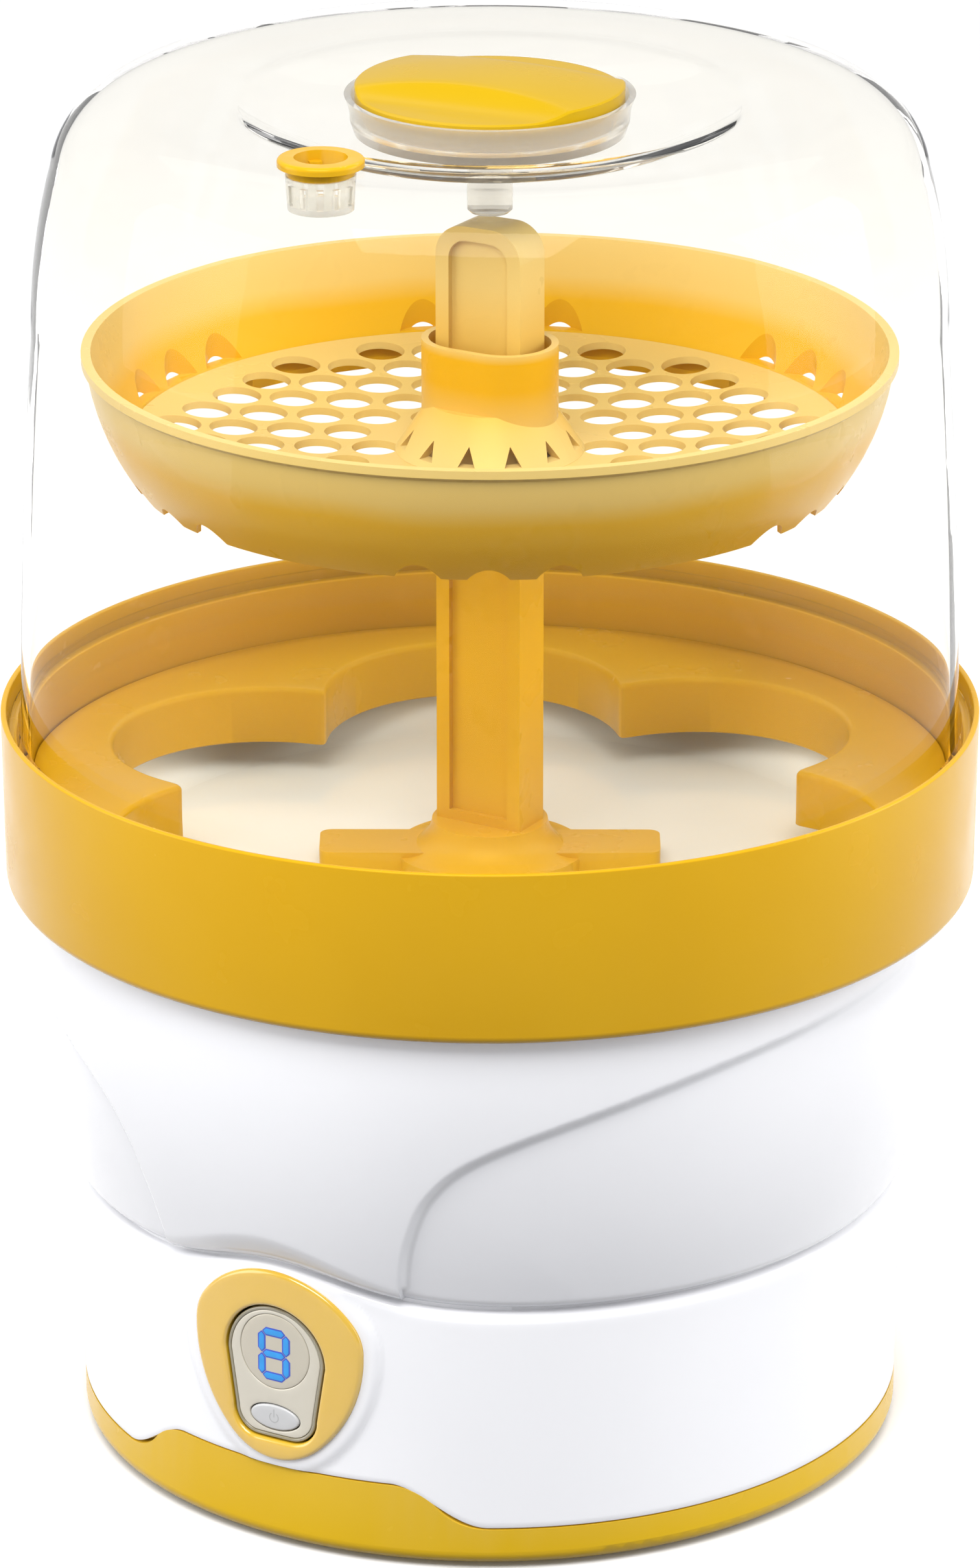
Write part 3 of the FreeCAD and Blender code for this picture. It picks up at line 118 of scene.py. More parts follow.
def ramp(nodes, links, source, stops):
    """A colour ramp over a grey value: stops are (place, colour or grey)."""
    node = nodes.new("ShaderNodeValToRGB")
    elements = node.color_ramp.elements
    while len(elements) < len(stops):
        elements.new(0.5)
    for element, (place, colour) in zip(elements, stops):
        element.position = place
        element.color = (colour,) * 3 + (1,) if isinstance(colour, float) else (*colour, 1)
    links.new(source, node.inputs["Fac"])
    return node.outputs["Color"]


def add_bump(nodes, links, shader, source, strength, depth):
    """Small relief from a grey value; depth is in millimetres."""
    bump = nodes.new("ShaderNodeBump")
    bump.inputs["Strength"].default_value = strength
    bump.inputs["Distance"].default_value = depth * MM
    links.new(source, bump.inputs["Height"])
    links.new(bump.outputs["Normal"], shader.inputs["Normal"])


def add_skin(nodes, links, shader, grain=SKIN_GRAIN):
    """The very fine texture of moulded plastic."""
    add_bump(nodes, links, shader, noise(nodes, links, grain, 2.0), 0.25, 0.01)


def uneven_gloss(nodes, links, shader, source, roughness, most=1.2):
    """A roughness that wanders a little round the given one."""
    stops = [(0.3, roughness * 0.8), (0.7, roughness * most)]
    links.new(ramp(nodes, links, source, stops), shader.inputs["Roughness"])


def edge_wear_and_crease_shade(nodes, links, colour, light):
    """The colour with a paler, worn tone on raised edges and painted shade in creases: a darker
    tone where the surface is hollow.
    """
    shape = nodes.new("ShaderNodeNewGeometry")
    pale, deep = [mixed(c, 1.0, 0.25) for c in light], [0.6 * c for c in light]
    edge_stops = [(0.54, 0.0), (0.66, 0.2)]
    # Painted shade: hollow places, such as creases and the foot of a step, get the darker tone.
    crease_shade_stops = [(0.44, 0.8), (0.496, 0.0)]
    for stops, tone in ((edge_stops, pale), (crease_shade_stops, deep)):
        mix = nodes.new("ShaderNodeMix")
        mix.data_type = "RGBA"
        mix.inputs["B"].default_value = (*tone, 1)
        links.new(ramp(nodes, links, shape.outputs["Pointiness"], stops), mix.inputs["Factor"])
        links.new(colour, mix.inputs["A"])
        colour = mix.outputs["Result"]
    return colour


def moulded(name, light, dark, roughness, coat=0.0, grain=SKIN_GRAIN, sheen=None, bend=1.5):
    """Moulded plastic: cloudy colour, worn edges, painted shade in creases, uneven gloss and a
    very fine skin texture.
    """
    material, nodes, links, shader = new_material(name)
    cloud = noise(nodes, links, 14.0)
    tone = ramp(nodes, links, cloud, [(0.35, dark), (0.65, light)])
    links.new(edge_wear_and_crease_shade(nodes, links, tone, light), shader.inputs["Base Color"])
    uneven_gloss(nodes, links, shader, noise(nodes, links, PATCHES), roughness)
    add_skin(nodes, links, shader, grain)
    shader.inputs["Coat Weight"].default_value = coat
    shader.inputs["Coat Roughness"].default_value = 0.04
    shader.inputs["IOR"].default_value = bend
    if sheen:
        shader.inputs["Specular Tint"].default_value = (*sheen, 1)
    return material


def metal(name, light, dark, roughness, stretch=(1, 1, 1)):
    """Metal with fine streaks in its colour and gloss; stretch lays them along an axis."""
    material, nodes, links, shader = new_material(name)
    streak = noise(nodes, links, 400.0, 2.0, stretch)
    links.new(ramp(nodes, links, streak, [(0.3, dark), (0.7, light)]),
              shader.inputs["Base Color"])
    uneven_gloss(nodes, links, shader, streak, roughness, 1.25)
    add_bump(nodes, links, shader, streak, 0.2, 0.01)
    shader.inputs["Metallic"].default_value = 1.0
    return material


def clear(name, tint, roughness, transmission, scratch, bend, coat):
    """Clear or milky moulded plastic with faint scratches in its gloss."""
    material, nodes, links, shader = new_material(name)
    cloud = noise(nodes, links, 9.0)
    shade = tuple(0.97 * c for c in tint)
    links.new(ramp(nodes, links, cloud, [(0.3, shade), (0.7, tint)]),
              shader.inputs["Base Color"])
    wear = noise(nodes, links, 35.0, 6.0, (1, 1, 0.25))
    links.new(ramp(nodes, links, wear, [(0.45, roughness), (0.8, roughness + scratch)]),
              shader.inputs["Roughness"])
    add_bump(nodes, links, shader, noise(nodes, links, 45.0, 2.0), 0.06, 0.05)
    shader.inputs["Transmission Weight"].default_value = transmission
    shader.inputs["IOR"].default_value = bend
    shader.inputs["Coat Weight"].default_value = coat
    shader.inputs["Coat IOR"].default_value = 1.45
    shader.inputs["Coat Roughness"].default_value = 0.02
    return material


def lit(name, colour, power):
    """Plastic of the display's bars, which glows."""
    material, nodes, links, shader = new_material(name)
    glow = ramp(nodes, links, noise(nodes, links, 300.0),
                [(0.3, tuple(0.85 * c for c in colour)), (0.7, colour)])
    links.new(glow, shader.inputs["Base Color"])
    links.new(glow, shader.inputs["Emission Color"])
    shader.inputs["Emission Strength"].default_value = power
    shader.inputs["Roughness"].default_value = 0.3
    return material


def painted_light_bands(name, stops):
    """Yellow plastic with painted light: paler bands at set heights, where light shows through
    the plastic. Stops are (height, paleness).
    """
    waver = 8
    material, nodes, links, shader = new_material(name)
    place = nodes.new("ShaderNodeTexCoord")
    parts = nodes.new("ShaderNodeSeparateXYZ")
    links.new(place.outputs["Object"], parts.inputs["Vector"])
    wander = nodes.new("ShaderNodeMath")
    wander.operation = "MULTIPLY_ADD"
    wander.inputs[1].default_value = waver * MM
    links.new(noise(nodes, links, 11.0, 2.0), wander.inputs[0])
    links.new(parts.outputs["Z"], wander.inputs[2])
    first, last = stops[0][0], stops[-1][0]
    span = nodes.new("ShaderNodeMapRange")
    span.inputs["From Min"].default_value = (first + waver / 2) * MM
    span.inputs["From Max"].default_value = (last + waver / 2) * MM
    links.new(wander.outputs["Value"], span.inputs["Value"])
    # Painted light: the pale tone stands in for light showing through the thin plastic.
    deep, pale = (0.70, 0.385, 0.009), (0.70, 0.57, 0.25)
    shades = []
    for z, paleness in stops:
        shade = tuple(mixed(a, b, paleness) for a, b in zip(deep, pale))
        shades.append(((z - first) / (last - first), shade))
    links.new(ramp(nodes, links, span.outputs["Result"], shades), shader.inputs["Base Color"])
    uneven_gloss(nodes, links, shader, noise(nodes, links, PATCHES), 0.3)
    add_skin(nodes, links, shader)
    shader.inputs["Specular Tint"].default_value = (*WARM, 1)
    shader.inputs["IOR"].default_value = 1.3
    shader.inputs["Coat Weight"].default_value = 0.04
    shader.inputs["Coat Roughness"].default_value = 0.06
    return material


# Plastics are given as name, light colour, dark colour, roughness and coat; WARM tints
# the gloss of the yellow ones. The ones with painted light bands take heights in millimetres.
WARM = (1.0, 0.80, 0.22)
YELLOW = moulded("yellow_gloss", (0.645, 0.36, 0.010), (0.615, 0.335, 0.008), 0.24, 0.05,
                 sheen=WARM, bend=1.3)
TUB_YELLOW = moulded("yellow_tub", (0.72, 0.45, 0.014), (0.69, 0.42, 0.011), 0.24, 0.05,
                     sheen=WARM, bend=1.3)
BEZEL_YELLOW = moulded("yellow_mirror", (0.68, 0.42, 0.025), (0.65, 0.39, 0.020), 0.2, 1.0)
# The knob's yellow is the same plastic made darker: painted shade.
KNOB_SHADED_YELLOW = moulded("yellow_knob_painted_shade", (0.50, 0.315, 0.006), (0.48, 0.295, 0.005), 0.24,
                      sheen=WARM, bend=1.2)
# Painted light: the tray, its floor, its sleeve and the column are paler at these heights.
TRAY_YELLOW = painted_light_bands("tray_yellow", [(252, 0.0), (258, 0.0), (268, 0.0), (274, 0.5),
                                      (284, 0.65)])
FLOOR_YELLOW = painted_light_bands("tray_floor_yellow", [(254, 0.55), (262, 0.65)])
SLEEVE_YELLOW = painted_light_bands("sleeve_yellow", [(256, 0.8), (266, 0.5), (276, 0.0), (283, 0.0),
                                          (285, 0.5)])
COLUMN_YELLOW = painted_light_bands("column_yellow", [(150, 0.1), (175, 0.0), (240, 0.0), (280, 0.2),
                                          (300, 0.7), (325, 0.8)])
WHITE = moulded("white_gloss", (0.88, 0.88, 0.895), (0.865, 0.865, 0.88), 0.16, 0.3)
BASIN = moulded("basin_coating", (0.94, 0.96, 0.90), (0.91, 0.93, 0.86), 0.16, 0.3)
CLEAR = clear("clear_hood", (0.99, 0.98, 0.94), 0.0, 1.0, scratch=0.03, bend=1.02, coat=0.2)
MILKY = clear("milky_plastic", (0.95, 0.94, 0.89), 0.12, 0.75, scratch=0.1, bend=1.18,
              coat=0.3)
CHAMPAGNE = moulded("champagne_panel", (0.58, 0.54, 0.44), (0.54, 0.50, 0.41), 0.22, 0.8)
LENS = moulded("tinted_lens", (0.50, 0.46, 0.36), (0.48, 0.43, 0.34), 0.2, 0.8)
# The window's rim is a real raised ring; its dark colour is painted shade, the shadow in the gap
# round the window.
RIM_SHADE = moulded("rim_painted_shade", (0.25, 0.215, 0.13), (0.21, 0.18, 0.105), 0.15, 1.0)
SILVER = moulded("silver_button", (0.56, 0.56, 0.56), (0.52, 0.52, 0.52), 0.3, 0.2)
DIGIT = lit("digit_blue", (0.012, 0.20, 0.50), 0.6)
DIGIT_EDGE = lit("digit_edge", (0.02, 0.05, 0.33), 0.6)
MARK = moulded("grey_mark", (0.42, 0.42, 0.42), (0.36, 0.36, 0.36), 0.4)
RUBBER = moulded("rubber", (0.035, 0.035, 0.035), (0.025, 0.025, 0.025), 0.7, grain=400.0)
SILICONE = moulded("silicone", (0.55, 0.56, 0.56), (0.48, 0.49, 0.49), 0.55)
ALUMINIUM = metal("aluminium", (0.75, 0.76, 0.77), (0.62, 0.63, 0.64), 0.35, (1, 1, 12))
ELEMENT = metal("element_steel", (0.42, 0.39, 0.36), (0.30, 0.28, 0.26), 0.45)
STEEL = metal("zinc_steel", (0.66, 0.66, 0.65), (0.52, 0.52, 0.52), 0.32)
BOARD = moulded("solder_mask", (0.03, 0.20, 0.07), (0.02, 0.14, 0.05), 0.35, 0.4)
BLACK = moulded("black_plastic", (0.04, 0.04, 0.045), (0.03, 0.03, 0.032), 0.45)
RELAY = moulded("blue_plastic", (0.05, 0.16, 0.42), (0.04, 0.12, 0.36), 0.4)
NYLON = moulded("nylon", (0.80, 0.77, 0.68), (0.74, 0.71, 0.62), 0.5)
WIRES = {
    "wire_brown": moulded("wire_brown", (0.22, 0.09, 0.04), (0.17, 0.07, 0.03), 0.5),
    "wire_blue": moulded("wire_blue", (0.04, 0.14, 0.45), (0.03, 0.10, 0.36), 0.5),
    "wire_white": moulded("wire_white", (0.75, 0.75, 0.73), (0.68, 0.68, 0.66), 0.5),
}
BY_SLOT = {
    "yellow_plastic": YELLOW, "white_plastic": WHITE, "clear_plastic": CLEAR,
    "milky_plastic": MILKY, "basin_coating": BASIN, "silicone": SILICONE, "rubber": RUBBER,
    "aluminium": ALUMINIUM, "element_steel": ELEMENT, "steel": STEEL,
    "champagne_panel": CHAMPAGNE, "lens_plastic": LENS, "digit_blue": DIGIT,
    "button_silver": SILVER, "board_green": BOARD, "black_plastic": BLACK,
    "relay_blue": RELAY, "cream_plastic": NYLON, **WIRES,
}


def dress_cad_nodes():
    """Give each CAD node the material of its slot."""
    # The stand and tray take the yellows with painted light bands.
    banded = {"stand_column": COLUMN_YELLOW, "stand_foot": COLUMN_YELLOW,
              "tray_bowl": TRAY_YELLOW, "tray_floor": FLOOR_YELLOW,
              "tray_sleeve": SLEEVE_YELLOW, "bottom_shell": TUB_YELLOW}
    for row in frame["record"]["subparts"]:
        node = frame["nodes"][row["node"]]
        material = banded.get(row["node"], BY_SLOT[row["material_slot"]])
        node.data.materials.clear()
        node.data.materials.append(material)


def soften_cad_nodes():
    """Small rounded edges on the CAD nodes that show most."""
    edge, least_angle = 0.4, 35
    for node in ("stand_column", "stand_foot", "tray_bowl", "tray_sleeve", "cord_inlet",
                 "bottom_shell", "vent_ring"):
        bevel = frame["nodes"][node].modifiers.new("rounded_edges", "BEVEL")
        bevel.width = edge * MM
        bevel.segments = 2
        bevel.limit_method = "ANGLE"
        bevel.angle_limit = math.radians(least_angle)
        bevel.harden_normals = True


# ----------------------------------------------------------- mesh helpers

def add_piece(name, points, faces, material, body, replaced=(), slot=None, sharp=40):
    """A mesh in millimetres that rides on a body and may stand for CAD nodes; its slot is not
    used.
    """
    mesh = bpy.data.meshes.new(name)
    mesh.from_pydata([Vector(p) * MM for p in points], [], faces)
    shape = bmesh.new()
    shape.from_mesh(mesh)
    bmesh.ops.remove_doubles(shape, verts=shape.verts, dist=1e-6)
    bmesh.ops.recalc_face_normals(shape, faces=shape.faces)
    shape.to_mesh(mesh)
    shape.free()
    mesh.shade_smooth()
    mesh.set_sharp_from_angle(angle=math.radians(sharp))
    mesh.materials.append(material)
    piece = bpy.data.objects.new(name, mesh)
    bpy.context.scene.collection.objects.link(piece)
    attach(piece, body)
    if replaced:
        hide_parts(*replaced)
    return piece


def outline(corners, steps=6):
    """Points of an outline whose corners (x, y) or (x, y, rounding) are drawn round."""
    points = []
    count = len(corners)
    for index, corner in enumerate(corners):
        here = Vector(corner[:2])
        rounding = corner[2] if len(corner) > 2 else 0
        if not rounding:
            points.append(tuple(here))
            continue
        back = (Vector(corners[index - 1][:2]) - here).normalized()
        ahead = (Vector(corners[(index + 1) % count][:2]) - here).normalized()
        half = math.acos(max(-1, min(1, back.dot(ahead)))) / 2
        start = here + back * rounding / math.tan(half)
        centre = here + (back + ahead).normalized() * rounding / math.sin(half)
        spoke = start - centre
        side = 1 if back.x * ahead.y - back.y * ahead.x < 0 else -1
        sweep = side * (math.pi - 2 * half)
        for step in range(steps + 1):
            turn = sweep * step / steps
            spun = Vector((spoke.x * math.cos(turn) - spoke.y * math.sin(turn),
                           spoke.x * math.sin(turn) + spoke.y * math.cos(turn)))
            points.append(tuple(centre + spun))
    return points


def bow(start, end, radius, steps=10):
    """Points inside an arc from start to end; a positive radius bulges to the right."""
    a, b = Vector(start), Vector(end)
    chord = b - a
    middle = (a + b) / 2
    rise = math.sqrt(radius ** 2 - chord.length_squared / 4)
    side = 1 if radius > 0 else -1
    centre = middle + Vector((-chord.y, chord.x)).normalized() * rise * side
    first = math.atan2(a.y - centre.y, a.x - centre.x)
    last = math.atan2(b.y - centre.y, b.x - centre.x)
    sweep = (last - first + math.pi) % (2 * math.pi) - math.pi
    return [(centre.x + abs(radius) * math.cos(first + sweep * k / steps),
             centre.y + abs(radius) * math.sin(first + sweep * k / steps))
            for k in range(1, steps)]


def curve(start, *legs):
    """Points from start along legs of (end, radius, steps), or (end,) where it is straight."""
    points = [start]
    for end, *arc in legs:
        if arc:
            points += bow(points[-1], end, *arc)
        points.append(end)
    return points


def even_angles(count):
    return [360 * k / count for k in range(count)]


def lathe(name, profile, material, body, angles, **more):
    """A closed outline swept round the Z axis; profile is a list of (radius, height)
    or a function of the angle in degrees that gives one."""
    rings = [profile(a) if callable(profile) else profile for a in angles]
    count = len(rings[0])
    points = []
    for angle, ring in zip(angles, rings):
        sine, cosine = math.sin(math.radians(angle)), math.cos(math.radians(angle))
        points += [(r * sine, -r * cosine, z) for r, z in ring]
    faces = []
    for i in range(len(angles)):
        j = (i + 1) % len(angles)
        for k in range(count):
            m = (k + 1) % count
            faces.append((i * count + k, j * count + k, j * count + m, i * count + m))
    return add_piece(name, points, faces, material, body, **more)


# ------------------------------------------------------- control panel face

BEZEL_FRONT = -low("panel_bezel").y
WINDOW_FRONT = -low("window_panel").y
HOUSING_R = high("lower_housing").x
PAD_FRONT = 105.4
PAD_MARGIN = 3.4

# Radii of the backs of the panel's plates, and of the faces that stand out from the window.
BEZEL_BACK = 102.4
WINDOW_BACK = 103.0
BUTTON_BACK = 100.2
OPENING_BACK = 99.0
DIGIT_BASE = WINDOW_FRONT + 0.35
LENS_FRONT = WINDOW_FRONT + 0.4
FRAME_FRONT = WINDOW_FRONT + 0.45
RIM_FRONT = WINDOW_FRONT + 0.55
BUTTON_FRONT = WINDOW_FRONT + 0.7

# How far the edges of those plates lie outside the window's outline.
OPENING_EDGE = 0.4
BEZEL_HOLE = 0.35
RIM_EDGE = -0.1
RIM_HOLE = -1.05
FRAME_EDGE = -1.1


def arc_loop(joints, spacing=0.6):
    """A closed loop through (x, z, radius) joints, each joined to the next by an arc."""
    points = []
    for index, (x, z, radius) in enumerate(joints):
        after = joints[(index + 1) % len(joints)][:2]
        points.append((x, z))
        length = (Vector(after) - Vector((x, z))).length
        if radius:
            points += bow((x, z), after, radius, max(2, round(length / spacing)))
        else:
            many = max(1, round(length / spacing))
            points += [(mixed(x, after[0], k / many), mixed(z, after[1], k / many))
                       for k in range(1, many)]
    return points


def grow(loop, margin):
    """The loop moved outwards by a margin along its own normals."""
    grown = []
    count = len(loop)
    for k in range(count):
        before, after = Vector(loop[k - 1]), Vector(loop[(k + 1) % count])
        run = (after - before).normalized()
        grown.append((loop[k][0] + run.y * margin, loop[k][1] - run.x * margin))
    return grown


def inside(point, loop):
    """Whether a point lies inside a closed loop."""
    x, y = point
    found = False
    for k in range(len(loop)):
        (ax, ay), (bx, by) = loop[k - 1], loop[k]
        if (ay > y) != (by > y) and x < (bx - ax) * (y - ay) / (by - ay) + ax:
            found = not found
    return found


def on_wall(x, z, radius):
    """A point on the upright cylinder of the given radius, in front of the axis."""
    return (x, -math.sqrt(radius ** 2 - x ** 2), z)


def plate(name, outer, holes, front, back, material, body, edge=0.6, **more):
    """A plate bent round the housing, with rounded rims at its outline and its holes."""
    points, faces = [], []

    def add_loop(loop, radius):
        start = len(points)
        points.extend(on_wall(x, z, radius) for x, z in loop)
        return list(range(start, start + len(loop)))

    def join(first, second):
        for k in range(len(first)):
            faces.append((first[k - 1], first[k], second[k], second[k - 1]))

    borders = []
    rounds, pitch, margin = 4, 1.4, 0.5
    for loop, way in [(outer, -1)] + [(hole, 1) for hole in holes]:
        rings = [add_loop(loop, back)]
        last = loop
        for step in range(rounds + 1):
            turn = math.radians(90 * step / rounds)
            last = grow(loop, way * edge * (1 - math.cos(turn)))
            rings.append(add_loop(last, front - edge + edge * math.sin(turn)))
        for a, b in zip(rings, rings[1:]):
            join(a, b)
        borders.append((last, rings[-1], rings[0], loop))
    for which, radius in ((0, front), (3, back)):
        loops = [b[which] for b in borders]
        flat = [Vector(p) for loop in loops for p in loop]
        edges = []
        start = 0
        for loop in loops:
            edges += [(start + k, start + (k + 1) % len(loop)) for k in range(len(loop))]
            start += len(loop)
        xs, zs = [p[0] for p in loops[0]], [p[1] for p in loops[0]]
        room = grow(loops[0], -margin)
        blocked = [grow(loop, margin) for loop in loops[1:]]
        for i in range(int((max(xs) - min(xs)) / pitch) + 1):
            for j in range(int((max(zs) - min(zs)) / pitch) + 1):
                spot = (min(xs) + i * pitch, min(zs) + j * pitch)
                if inside(spot, room) and not any(inside(spot, b) for b in blocked):
                    flat.append(Vector(spot))
        spots, _, triangles, _, _, _ = delaunay_2d_cdt(flat, edges, [], 0, 1e-5)
        start = len(points)
        points.extend(on_wall(p.x, p.y, radius) for p in spots)
        for triangle in triangles:
            middle = sum((spots[k] for k in triangle), Vector((0, 0))) / 3
            if inside(middle, loops[0]) and not any(inside(middle, h) for h in loops[1:]):
                faces.append(tuple(start + k for k in triangle))
    return add_piece(name, points, faces, material, body, **more)


def cut_opening(piece, cutter):
    """Take the cutter's shape out of a piece, and the cutter out of the scene."""
    tool = piece.modifiers.new("opening", "BOOLEAN")
    tool.operation = "DIFFERENCE"
    tool.solver = "EXACT"
    tool.object = cutter
    bpy.context.view_layer.update()
    scene_now = bpy.context.evaluated_depsgraph_get()
    shaped = bpy.data.meshes.new_from_object(piece.evaluated_get(scene_now))
    piece.modifiers.clear()
    piece.data = shaped
    bpy.data.objects.remove(cutter)


def bezel_loop(margin=0.0):
    """The pick-shaped outline of the bezel, grown by a margin."""
    m = margin
    return arc_loop([
        (-12.4 - 0.67 * m, 29.2 - 0.74 * m, 18.4 + m),
        (12.4 + 0.67 * m, 29.2 - 0.74 * m, 35.6 + m),
        (24 + m, 56, 13 + m),
        (21.4 + 0.8 * m, 64.3 + 0.6 * m, 26.75 + m),
        (-21.4 - 0.8 * m, 64.3 + 0.6 * m, 13 + m),
        (-24 - m, 56, 35.6 + m),
    ])


def window_loop(margin):
    """The outline of the pill-shaped window, grown by a margin."""
    m = margin
    return arc_loop([
        (-5, 30 - m, 0),
        (5, 30 - m, 6.75 + m),
        (11.6 + m, 36.8, 0),
        (13.9 + m, 51.6, 13.9 + m + 0.001),
        (-13.9 - m, 51.6, 0),
        (-11.6 - m, 36.8, 6.75 + m),
    ], 0.5)


def oval_loop(z, wide, tall):
    """An ellipse round (0, z), with half its width and half its height given."""
    count = 72
    return [(wide * math.cos(2 * math.pi * k / count),
             z + tall * math.sin(2 * math.pi * k / count)) for k in range(count)]


def make_panel():
    """The bezel, the window in its rim, the lens, the button with its sign, and the digit."""
    plate("bezel_frame", bezel_loop(), [window_loop(BEZEL_HOLE)], BEZEL_FRONT - 0.05,
          BEZEL_BACK, BEZEL_YELLOW, "base", edge=1.0,
          replaced=["panel_bezel"], slot="yellow_plastic")
    lens_z, lens_r = middle_z("display_lens"), high("display_lens").x
    button_z = middle_z("power_button")
    button_w, button_h = high("power_button").x, half_height("power_button")
    lens_gap, button_gap = 0.05, 0.3
    # Painted shade: the dark rim stands for the shadow round the window.
    plate("window_rim", window_loop(RIM_EDGE), [window_loop(RIM_HOLE)], RIM_FRONT,
          WINDOW_BACK, RIM_SHADE, "base", edge=0.4)
    plate("window_frame", window_loop(FRAME_EDGE),
          [oval_loop(lens_z, lens_r + lens_gap, lens_r + lens_gap),
           oval_loop(button_z, button_w + button_gap, button_h + button_gap)],
          FRAME_FRONT, WINDOW_BACK, CHAMPAGNE, "base", edge=0.3,
          replaced=["window_panel"], slot="champagne_panel")
    plate("lens_disc", oval_loop(lens_z, lens_r, lens_r), [], LENS_FRONT, WINDOW_BACK, LENS,
          "base", edge=0.3, replaced=["display_lens"], slot="lens_plastic")
    plate("button_cap", oval_loop(button_z, button_w, button_h), [], BUTTON_FRONT,
          BUTTON_BACK, SILVER, "button", edge=0.5,
          replaced=["power_button"], slot="button_silver")
    make_power_mark(button_z)
    make_digit_bars()


def make_power_mark(height):
    """The plain power sign: an open ring and a bar."""
    ring_r, half_width, bar_low, bar_top = 1.25, 0.14, 0.1, 2.3
    half_gap, steps = 32, 40
    front = BUTTON_FRONT + 0.02
    depths = (front, front - 0.12)
    points, faces = [], []
    for k in range(steps + 1):
        turn = math.radians(half_gap + (360 - 2 * half_gap) * k / steps)
        for radius in (ring_r - half_width, ring_r + half_width):
            for depth in depths:
                points.append(on_wall(radius * math.sin(turn),
                                      height + radius * math.cos(turn), depth))
    for k in range(steps):
        a, b = 4 * k, 4 * (k + 1)
        for first, second in ((0, 1), (1, 3), (3, 2), (2, 0)):
            faces.append((a + first, a + second, b + second, b + first))
    faces += [tuple(end + k for k in (0, 1, 3, 2)) for end in (0, 4 * steps)]
    start = len(points)
    for z in (height + bar_low, height + bar_top):
        for x in (-half_width, half_width):
            for depth in depths:
                points.append(on_wall(x, z, depth))
    box = ((0, 1, 3, 2), (4, 5, 7, 6), (0, 1, 5, 4), (2, 3, 7, 6), (0, 2, 6, 4), (1, 3, 7, 5))
    faces += [tuple(start + k for k in side) for side in box]
    add_piece("power_mark", points, faces, MARK, "button")


def bar_corners(x, z, reach, thick, upright):
    """The six corners of a pointed bar round (x, z), half its length and thickness given."""
    flat = [(-reach, 0), (thick - reach, -thick), (reach - thick, -thick),
            (reach, 0), (reach - thick, thick), (thick - reach, thick)]
    return [(x - b, z + a) if upright else (x + a, z + b) for a, b in flat]


def make_digit_bars():
    """Each bar of the digit: a dark blue rim with a bright face on it."""
    middle = middle_z("display_digit")
    thick, flat_gap, upright_gap = 1.15, 0.1, 0.02
    half = high("display_digit").x - thick
    step = half_height("display_digit") - thick
    bars = [bar_corners(0, middle + level * step, half - flat_gap, thick, False)
            for level in (-1, 0, 1)]
    bars += [bar_corners(side * half, middle + level * step / 2, step / 2 - upright_gap,
                         thick, True) for side in (-1, 1) for level in (-1, 1)]
    rounding, rim_width, spacing = 0.25, 0.42, 5
    for index, bar in enumerate(bars):
        loops = []
        for corners in (bar, grow(bar, -rim_width)):
            rounded = outline([(*corner, rounding) for corner in corners], 3)
            loops.append(arc_loop([(x, z, 0) for x, z in rounded], spacing))
        rim, core = loops
        more = {"replaced": ["display_digit"], "slot": "digit_blue"} if index == 0 else {}
        plate("digit_rim_%d" % index, rim, [], DIGIT_BASE + 0.12, DIGIT_BASE - 0.5,
              DIGIT_EDGE, "base", edge=0.08, **more)
        plate("digit_face_%d" % index, core, [], DIGIT_BASE + 0.2, DIGIT_BASE - 0.4, DIGIT,
              "base", edge=0.06)


# ------------------------------------------------------------- lower base

# The wavy seam: its high and low level, and how far from the middle it starts to sink.
SEAM_HIGH = 22.0
SEAM_LOW = 11.3
SEAM_FLAT = 29.7
SEAM_RUN = 22.6
SEAM_GAP = 0.35

# The skirt's upper edge, and the arch it has over the control panel.
HOUSING_TOP = 69.1
ARCH_RISE = 6.8
ARCH_REACH = 27.0
SKIRT_WALL = 2.8
PAD_HALF_ANGLE = 22
PAD_SLOPE = 3.2

# The bowl's side is an arc between two radii at two heights.
CREASE_GAP = 1.1
BOWL_LOW_R = 106.6
BOWL_LOW = 73.2
BOWL_TOP_R = 117.4
BOWL_SHOULDER = 147.0
BOWL_CURVE = 245.0
BOWL_TOP = 160.0
BOWL_WALL = 2.2
NECK_R = 101.5
NECK_DEPTH = 9.0


def seam(angle):
    """Height of the wavy seam between the white housing and the yellow tub."""
    side = abs(HOUSING_R * math.sin(math.radians(angle)))
    if from_front(angle) > 90:
        return SEAM_LOW
    return mixed(SEAM_HIGH, SEAM_LOW, smooth((side - SEAM_FLAT) / SEAM_RUN))


def arch(angle):
    """Share of the arch over the control panel, 1 in the middle and 0 far from it."""
    if from_front(angle) > 90:
        return 0.0
    return math.exp(-(HOUSING_R * math.sin(math.radians(angle)) / ARCH_REACH) ** 2)


def pad_top(angle):
    """Height of the housing's upper edge, which arches over the control panel."""
    return HOUSING_TOP + ARCH_RISE * arch(angle)


def fine_angles():
    """Angles round the axis, closer together at the front."""
    front = [-50 + 100 * k / 360 for k in range(361)]
    rest = [50 + 260 * k / 340 for k in range(1, 340)]
    return front + rest


def nearest(points, line):
    """Distance from each point to the nearest point of a line."""
    spots, marks = np.array(points), np.array(line)
    return np.sqrt(((spots[:, None, :] - marks[None, :, :]) ** 2).sum(2)).min(1)


def to_loop(points, loop):
    """Signed distance of (x, z) points to a closed loop, negative inside."""
    sign = np.array([-1.0 if inside(p, loop) else 1.0 for p in points])
    return nearest(points, loop) * sign


